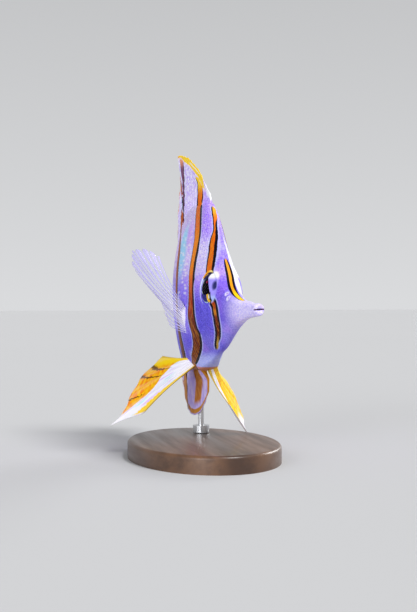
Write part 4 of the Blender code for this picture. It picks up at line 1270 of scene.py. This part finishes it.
def lay_fold(paint, colour):
    """The skin round the eye: a pale fold whose white top is a painted highlight, a pit in front painted dark
    as painted shade, gold along the rim above.
    """
    station, side, height = paint.parts()
    radius = paint.distance((EYE_STATION, EYE_HEIGHT))
    colour = colour.mix(radius.step(4.35, 4.2) * height.step(7.6, 8.2), (0.012, 0.01, 0.07))
    # Lavender low on the fold and white on its top: the white is a painted highlight
    tint = paint.mix(height.step(7.6, 8.8), (0.36, 0.30, 0.93), (0.96, 0.95, 1.0))
    tint = tint.mix(height.step(4.2, 3.0), (0.45, 0.55, 1.0))
    tint = tint.mix(station.step(22.9, 23.2) * height.step(4.9, 4.3), BLACK)
    colour = colour.mix(paint.distance((23.1, 5.9), (2.4, 4.3)).step(1.05, 0.85), tint)
    # The pit in front of the eye is painted dark: painted shade in the hollow
    pit = paint.distance(PIT, (0.85, 1.4)).step(1.15, 0.5)
    colour = colour.mix(pit * 0.95, (0.015, 0.02, 0.12))
    rim = radius.step(4.35, 4.5) * radius.step(4.90, 4.75)
    pale = rim * station.step(25.5, 27.0) * height.step(9.4, 8.6) * height.step(1.0, 3.5)
    colour = colour.mix(pale, (0.75, 0.93, 1.0))
    rim = radius.step(4.15, 4.25) * radius.step(4.75, 4.62)
    gold = paint.mix(station.step(27.0, 25.5), (0.95, 0.40, 0.01), (1.0, 0.78, 0.25))
    return colour.mix(rim * height.step(8.0, 8.6) * station.step(24.2, 24.8), gold)


def skin_material():
    """Pearly skin with the bands, the forehead stripe and fine relief."""
    paint = Paint("fish_skin", **SATIN)
    station, side, height = paint.parts()
    colour = pearl(paint)
    # White beside the forehead stripe, and pale nostrils with rosy pits
    white = side.step(0.9, 1.5) * station.step(28.5, 26.0) * station.step(14.5, 18.0)
    colour = colour.mix(white * 0.9, (0.95, 0.93, 1.0))
    for at, level, radius in NOSTRILS:
        rim = paint.distance((at, level), (radius, radius))
        colour = colour.mix(rim.step(2.4, 1.4, 0.0, 0.55), NEAR_WHITE)
        colour = colour.mix(rim.step(1.0, 0.5, 0.0, 0.8), (0.45, 0.10, 0.30))
    colour = lay_bands(paint, colour, 0.30)
    colour = lay_stripe(paint, colour)
    colour = lay_fold(paint, colour)
    # The gap inside the mouth is painted dark: painted shade between the parted lips
    mouth = abs(height - MOUTH_HEIGHT).step(0.24, 0.12) * station.step(1.2, 0.6)
    colour = colour.mix(mouth, (0.08, 0.02, 0.08))
    grain = paint.noise(6.0)
    relief = paint.cells(1.7, (1.0, 0.6, 1.4)) * 0.7 + grain * 0.3
    return paint.done(colour, grain.step(0.2, 0.8, 0.34, 0.50), relief, 0.25, 0.0002)


def finish_fin(paint, colour):
    """The material of the dorsal or anal fin, with fine relief along its rays."""
    roughness = paint.noise(5.0).step(0.2, 0.8, 0.32, 0.48)
    return paint.done(colour, roughness, paint.noise(2.0, 4.0, stretch=(4.0, 1.0, 1.5)), 0.15, 0.0002)


def dorsal_material():
    """Dorsal fin: the body's bands and pale rays, with a yellow margin that widens forward."""
    paint = Paint("dorsal", **SATIN)
    height = paint.parts()[2]
    column, row, ridge = paint.fin(DORSAL_RAYS[-1][0])
    mottle = paint.noise(1.3, stretch=(0.5, 1.0, 0.9))
    colour = paint.mix(mottle.step(0.35, 0.65), *FIN_LAVENDER)
    colour = colour.mix(ridge * 0.30, NEAR_WHITE)
    colour = pearl(paint).mix(height.step(27.0, 37.0), colour)
    # White along the front spines' edge: a painted highlight
    colour = colour.mix(column.step(1.3, 0.6) * row.step(0.35, 0.65), (0.95, 0.94, 1.0))
    colour = lay_bands(paint, colour, 0.4)
    colour = lay_spot(paint, colour)
    # The margin starts at a row that differs from ray to ray, with a pale line inside it
    start = (column * 0.10 + 0.42).math("MINIMUM", column * 0.034 + 0.645).math("MINIMUM", 0.965)
    inside = row - start
    first = column.step(1.4, 1.8)
    colour = colour.mix(inside.step(-0.05, -0.01) * first * 0.6, (0.95, 0.80, 0.95))
    yellow = paint.mix(mottle.step(0.4, 0.6), YELLOW, (0.97, 0.70, 0.02))
    yellow = yellow.mix(column.step(11.0, 14.0), (0.85, 0.32, 0.20))
    colour = colour.mix(inside.step(-0.012, 0.012) * first, yellow)
    line = row.step(0.885, 0.905) * row.step(0.945, 0.925) * column.step(2.4, 3.0) * column.step(6.0, 5.0)
    return finish_fin(paint, colour.mix(line * 0.85, (1.0, 0.93, 0.85)))


def anal_material():
    """Anal fin: lavender with a rusty line inside its edge and the rear band's end."""
    paint = Paint("anal", **SATIN)
    column, row, ridge = paint.fin(ANAL_RAYS[-1][0])
    mottle = paint.noise(1.2, stretch=(1.0, 1.0, 0.4))
    colour = paint.mix(mottle.step(0.35, 0.65), (0.46, 0.34, 0.92), (0.66, 0.56, 0.98))
    colour = colour.mix(ridge * 0.25, NEAR_WHITE)
    rusty = paint.mix(mottle.step(0.4, 0.6), (0.50, 0.17, 0.03), (0.62, 0.26, 0.05))
    away = abs(column - (row * 2.2 + 2.4))
    colour = colour.mix(away.step(1.9, 1.3) * row.step(0.82, 0.68), rusty)
    edge = (row.step(0.86, 0.885) * row.step(0.985, 0.96)).math("MAXIMUM", column.step(0.55, 0.35))
    colour = colour.mix(edge, rusty.mix(column.step(9.0, 3.0), (0.60, 0.26, 0.03)))
    return finish_fin(paint, lay_band(paint, colour, "rear_band", rusty))


def clear_fin_material(name, membrane, root_row):
    """A fin with a clear membrane between pale rays that fade outward."""
    paint = Paint(name, Roughness=0.25, IOR=1.36, Coat_Weight=0.2)
    part, row, ridge = paint.parts("fin")
    crest = ridge.step(0.15, 0.75)
    colour = paint.mix(crest, (0.42, 0.42, 0.95), (0.62, 0.56, 1.0))
    colour = colour.mix(row.step(0.45, 0.10), NEAR_WHITE)
    colour = lay_band(paint, colour, "tail_band", BLACK)
    shown = crest * row.step(0.25, 1.0, 0.95, 0.45) + membrane
    shown = shown.math("MAXIMUM", row.step(root_row, root_row * 0.6)).math("MINIMUM", 1.0)
    paint.feed(paint.shader["Alpha"], shown)
    return paint.done(colour, None, paint.noise(2.0, stretch=(3.0, 3.0, 3.0)), 0.1, 0.0001)


# Dark bars of the right pelvic fin: ray number, drift along the ray, first row, half width
RIGHT_BARS = ((3.36, 1.16, 0.30, 0.08), (2.53, 1.47, 0.42, 0.07), (1.76, 0.93, 0.66, 0.05))


def pelvic_material(name, lead, white_end, spread, bars, deep, bright):
    """Pelvic fin: a yellow leading edge, a pearly middle with a painted cyan and pink sheen, and an orange or
    yellow rear part.

    lead is where the yellow edge ends, white_end where the pearly part ends near the tip,
    both as ray numbers, and spread how much wider the pearly part is at the root. bars
    are dark lines along the rays: ray number, drift, first row and half width of each.
    deep and bright are the two shades of the rear part.
    """
    paint = Paint(name, Coat_Weight=0.06, Coat_Roughness=0.2, Coat_IOR=1.3, IOR=1.15)
    column, row, ridge = paint.fin(PELVIC_RAYS - 1)
    column = column + (paint.noise(1.1) - 0.5) * 0.30
    # Cyan and pink streaks on the pearly middle: painted sheen, painted reflections of light
    painted_sheen = paint.noise(1.0, stretch=(14.0, 2.4, 0.3), source=paint.attribute("fin"))
    white = paint.mix(painted_sheen.step(0.52, 0.66), (0.92, 0.92, 1.0), (0.55, 0.88, 0.92))
    white = white.mix(painted_sheen.step(0.47, 0.34), (0.80, 0.58, 0.97))
    white = white.mix(row.step(0.30, 0.16), (0.97, 0.95, 1.0))
    streak = paint.noise(1.1, stretch=(1.6, 0.5, 0.5))
    orange = paint.mix(streak.step(0.36, 0.60), deep, bright)
    orange = orange.mix(column.step(4.1, 4.6), (0.95, 0.66, 0.01))
    start = row.step(0.62, 0.22, 0.0, spread) + white_end
    colour = white.mix((column - start).step(-0.12, 0.12), orange)
    for first, slope, near, reach in bars:
        away = abs(column - (row * slope + first)) / row.step(near, near + 0.35, 0.3, 1.0)
        bar = away.step(reach * 1.5, reach * 0.5) * row.step(near, near + 0.06)
        colour = colour.mix(bar * 0.88, (0.07, 0.018, 0.008))
    edge = column.step(lead + 0.06, lead - 0.06) * row.step(0.99, 0.94)
    colour = colour.mix(edge, (1.0, 0.66, 0.0))
    tip = row.step(0.80, 0.92) * column.step(2.2, 1.7) * column.step(0.25, 0.45)
    colour = colour.mix(tip, (0.95, 0.93, 1.0))
    colour = colour.mix(ridge * 0.12, (1.0, 0.97, 0.9))
    return paint.done(colour, streak.step(0.2, 0.8, 0.30, 0.45), streak, 0.15, 0.0002)


def eye_material():
    """A black pupil, pale behind and dark below, with a golden hook under its front, a painted highlight
    inside the hook and a painted glint on the pupil.
    """
    paint = Paint("eye", Roughness=0.3, IOR=1.05)
    station, side, height = paint.parts()
    radius = paint.distance((EYE_STATION, EYE_HEIGHT))
    streaks = paint.noise(2.5, 4.0)
    gold = paint.mix(streaks.step(0.35, 0.65), (0.90, 0.36, 0.005), (1.0, 0.80, 0.08))
    colour = paint.mix(streaks.step(0.45, 0.62), (0.70, 0.92, 1.0), (0.20, 0.24, 0.75))
    colour = colour.mix(height.step(7.2, 8.2), (0.015, 0.012, 0.08))
    colour = colour.mix(height.step(4.6, 4.0) * radius.step(3.9, 3.6), (0.03, 0.03, 0.20))
    dark = station.step(25.3, 24.9) * height.step(5.0, 4.6)
    dark = dark.math("MAXIMUM", station.step(24.6, 24.0) * height.step(9.0, 8.0))
    colour = colour.mix(dark, BLACK)
    colour = colour.mix(radius.step(3.6, 3.8) * height.step(8.2, 9.0), gold)
    hook = abs(paint.distance((23.7, 3.7), (1.25, 1.75)) - 1.03).step(0.34, 0.26)
    colour = colour.mix(hook * height.step(4.3, 4.0) * station.step(23.0, 23.4), gold)
    # A white spot inside the hook: a painted highlight
    painted_highlight = paint.distance((24.25, 3.4), (0.25, 0.7)).step(1.1, 0.7)
    colour = colour.mix(painted_highlight, (1.0, 0.95, 0.85))
    pupil = paint.distance((26.1, 6.0), (2.75, 2.15)).step(1.04, 0.96)
    colour = colour.mix(pupil, (0.002, 0.001, 0.003))
    # A small red spot on the pupil: a painted glint, a painted reflection of light
    painted_glint = paint.distance((25.9, 7.3), (0.42, 0.35)).step(1.1, 0.6)
    return paint.done(colour.mix(painted_glint * 0.8, (0.55, 0.03, 0.10)), None, streaks, 0.1, 0.0001)


def cornea_material():
    """The clear dome over the eye."""
    paint = Paint("cornea", Roughness=0.03, IOR=1.38, Base_Color=(0.0, 0.0, 0.01, 1.0))
    cloud = paint.noise(3.0)
    paint.feed(paint.shader["Alpha"], cloud.step(0.2, 0.8, 0.03, 0.06))
    return paint.done(relief=cloud, strength=0.02, distance=0.00005)


def wood_material():
    """Dark satin walnut with long grain."""
    paint = Paint("stand_wood", Coat_Weight=0.3, Coat_Roughness=0.25)
    place_in = paint.node("ShaderNodeTexCoord", {}, "Object")
    grain = paint.noise(1.0, 5.0, 0.6, (12.0, 160.0, 160.0), place_in)
    rings = paint.noise(1.0, 2.0, 0.5, (6.0, 45.0, 30.0), place_in)
    colour = paint.mix(rings.step(0.35, 0.7), (0.055, 0.024, 0.012), (0.16, 0.075, 0.035))
    colour = colour.mix(grain.step(0.45, 0.75) * 0.6, (0.03, 0.012, 0.006))
    return paint.done(colour, grain.step(0.3, 0.7, 0.32, 0.50), grain, 0.2, 0.0002)


def steel_material():
    """Brushed steel."""
    paint = Paint("stand_metal", Metallic=1.0)
    place_in = paint.node("ShaderNodeTexCoord", {}, "Object")
    brush = paint.noise(1.0, 3.0, 0.5, (4000.0, 4000.0, 90.0), place_in)
    colour = paint.mix(brush, (0.52, 0.53, 0.55), (0.72, 0.73, 0.75))
    return paint.done(colour, brush.step(0.2, 0.8, 0.22, 0.38), brush, 0.08, 0.0001)


def floor_material():
    """Matt pale floor."""
    paint = Paint("floor", Specular_IOR_Level=0.0)
    cloud = paint.noise(2.0, source=paint.node("ShaderNodeTexCoord", {}, "Object"))
    colour = paint.mix(cloud, (0.52, 0.525, 0.535), (0.53, 0.535, 0.545))
    return paint.done(colour, cloud.step(0.3, 0.7, 0.85, 0.95))


def dress(piece, material):
    """Gives a piece its only material."""
    piece.data.materials.clear()
    piece.data.materials.append(material)


fish_skin = skin_material()
dress(skin(), fish_skin)
dress(scales("scales_left", 1), fish_skin)
dress(scales("scales_right", -1), fish_skin)

dress(median_fin("dorsal_fin_skin", DORSAL_RAYS, DORSAL_SPINES, BACK, 1, "dorsal_fin",
                 curve(DORSAL_LEAN)), dorsal_material())
dress(median_fin("anal_fin_skin", ANAL_RAYS, ANAL_SPINES, BELLY, -1, "anal_fin",
                 curve(ANAL_LEAN)), anal_material())
dress(caudal_fin(), clear_fin_material("tail_fin", 0.45, 0.22))
clear = clear_fin_material("pectoral_fin", 0.07, 0.13)
for word, way, tips, bow in (("right", -1, RIGHT_PECTORAL, 0.9), ("left", 1, LEFT_PECTORAL, 0.5)):
    dress(paired_fin("pectoral_skin_" + word, way, PECTORAL_ROOT, tips, PECTORAL_RAYS, bow, 0,
                     PECTORAL_SINK, "pectoral_fin_" + word), clear)
pelvic = paired_fin("pelvic_skin_right", -1, RIGHT_PELVIC_ROOT, RIGHT_PELVIC, PELVIC_RAYS, 0.9, 1,
                    PELVIC_SINK, "pelvic_fin_right")
dress(pelvic, pelvic_material("pelvic_right", 0.30, 1.95, 2.6, RIGHT_BARS, (0.90, 0.24, 0.006),
                              (0.95, 0.52, 0.008)))
pelvic = paired_fin("pelvic_skin_left", 1, LEFT_PELVIC_ROOT, LEFT_PELVIC, PELVIC_RAYS, -0.7, 1,
                    PELVIC_SINK, "pelvic_fin_left")
dress(pelvic, pelvic_material("pelvic_left", 0.10, 1.15, 0.0, (), (0.96, 0.46, 0.004),
                              (1.0, 0.72, 0.006)))

iris = eye_material()
clear_dome = cornea_material()
for one_side in (1, -1):
    ball, cornea = eye(one_side)
    dress(ball, iris)
    dress(cornea, clear_dome)

dress(stand_base(), wood_material())
dress(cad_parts["stand_rod"], steel_material())
dress(floor(), floor_material())
lights()
camera()
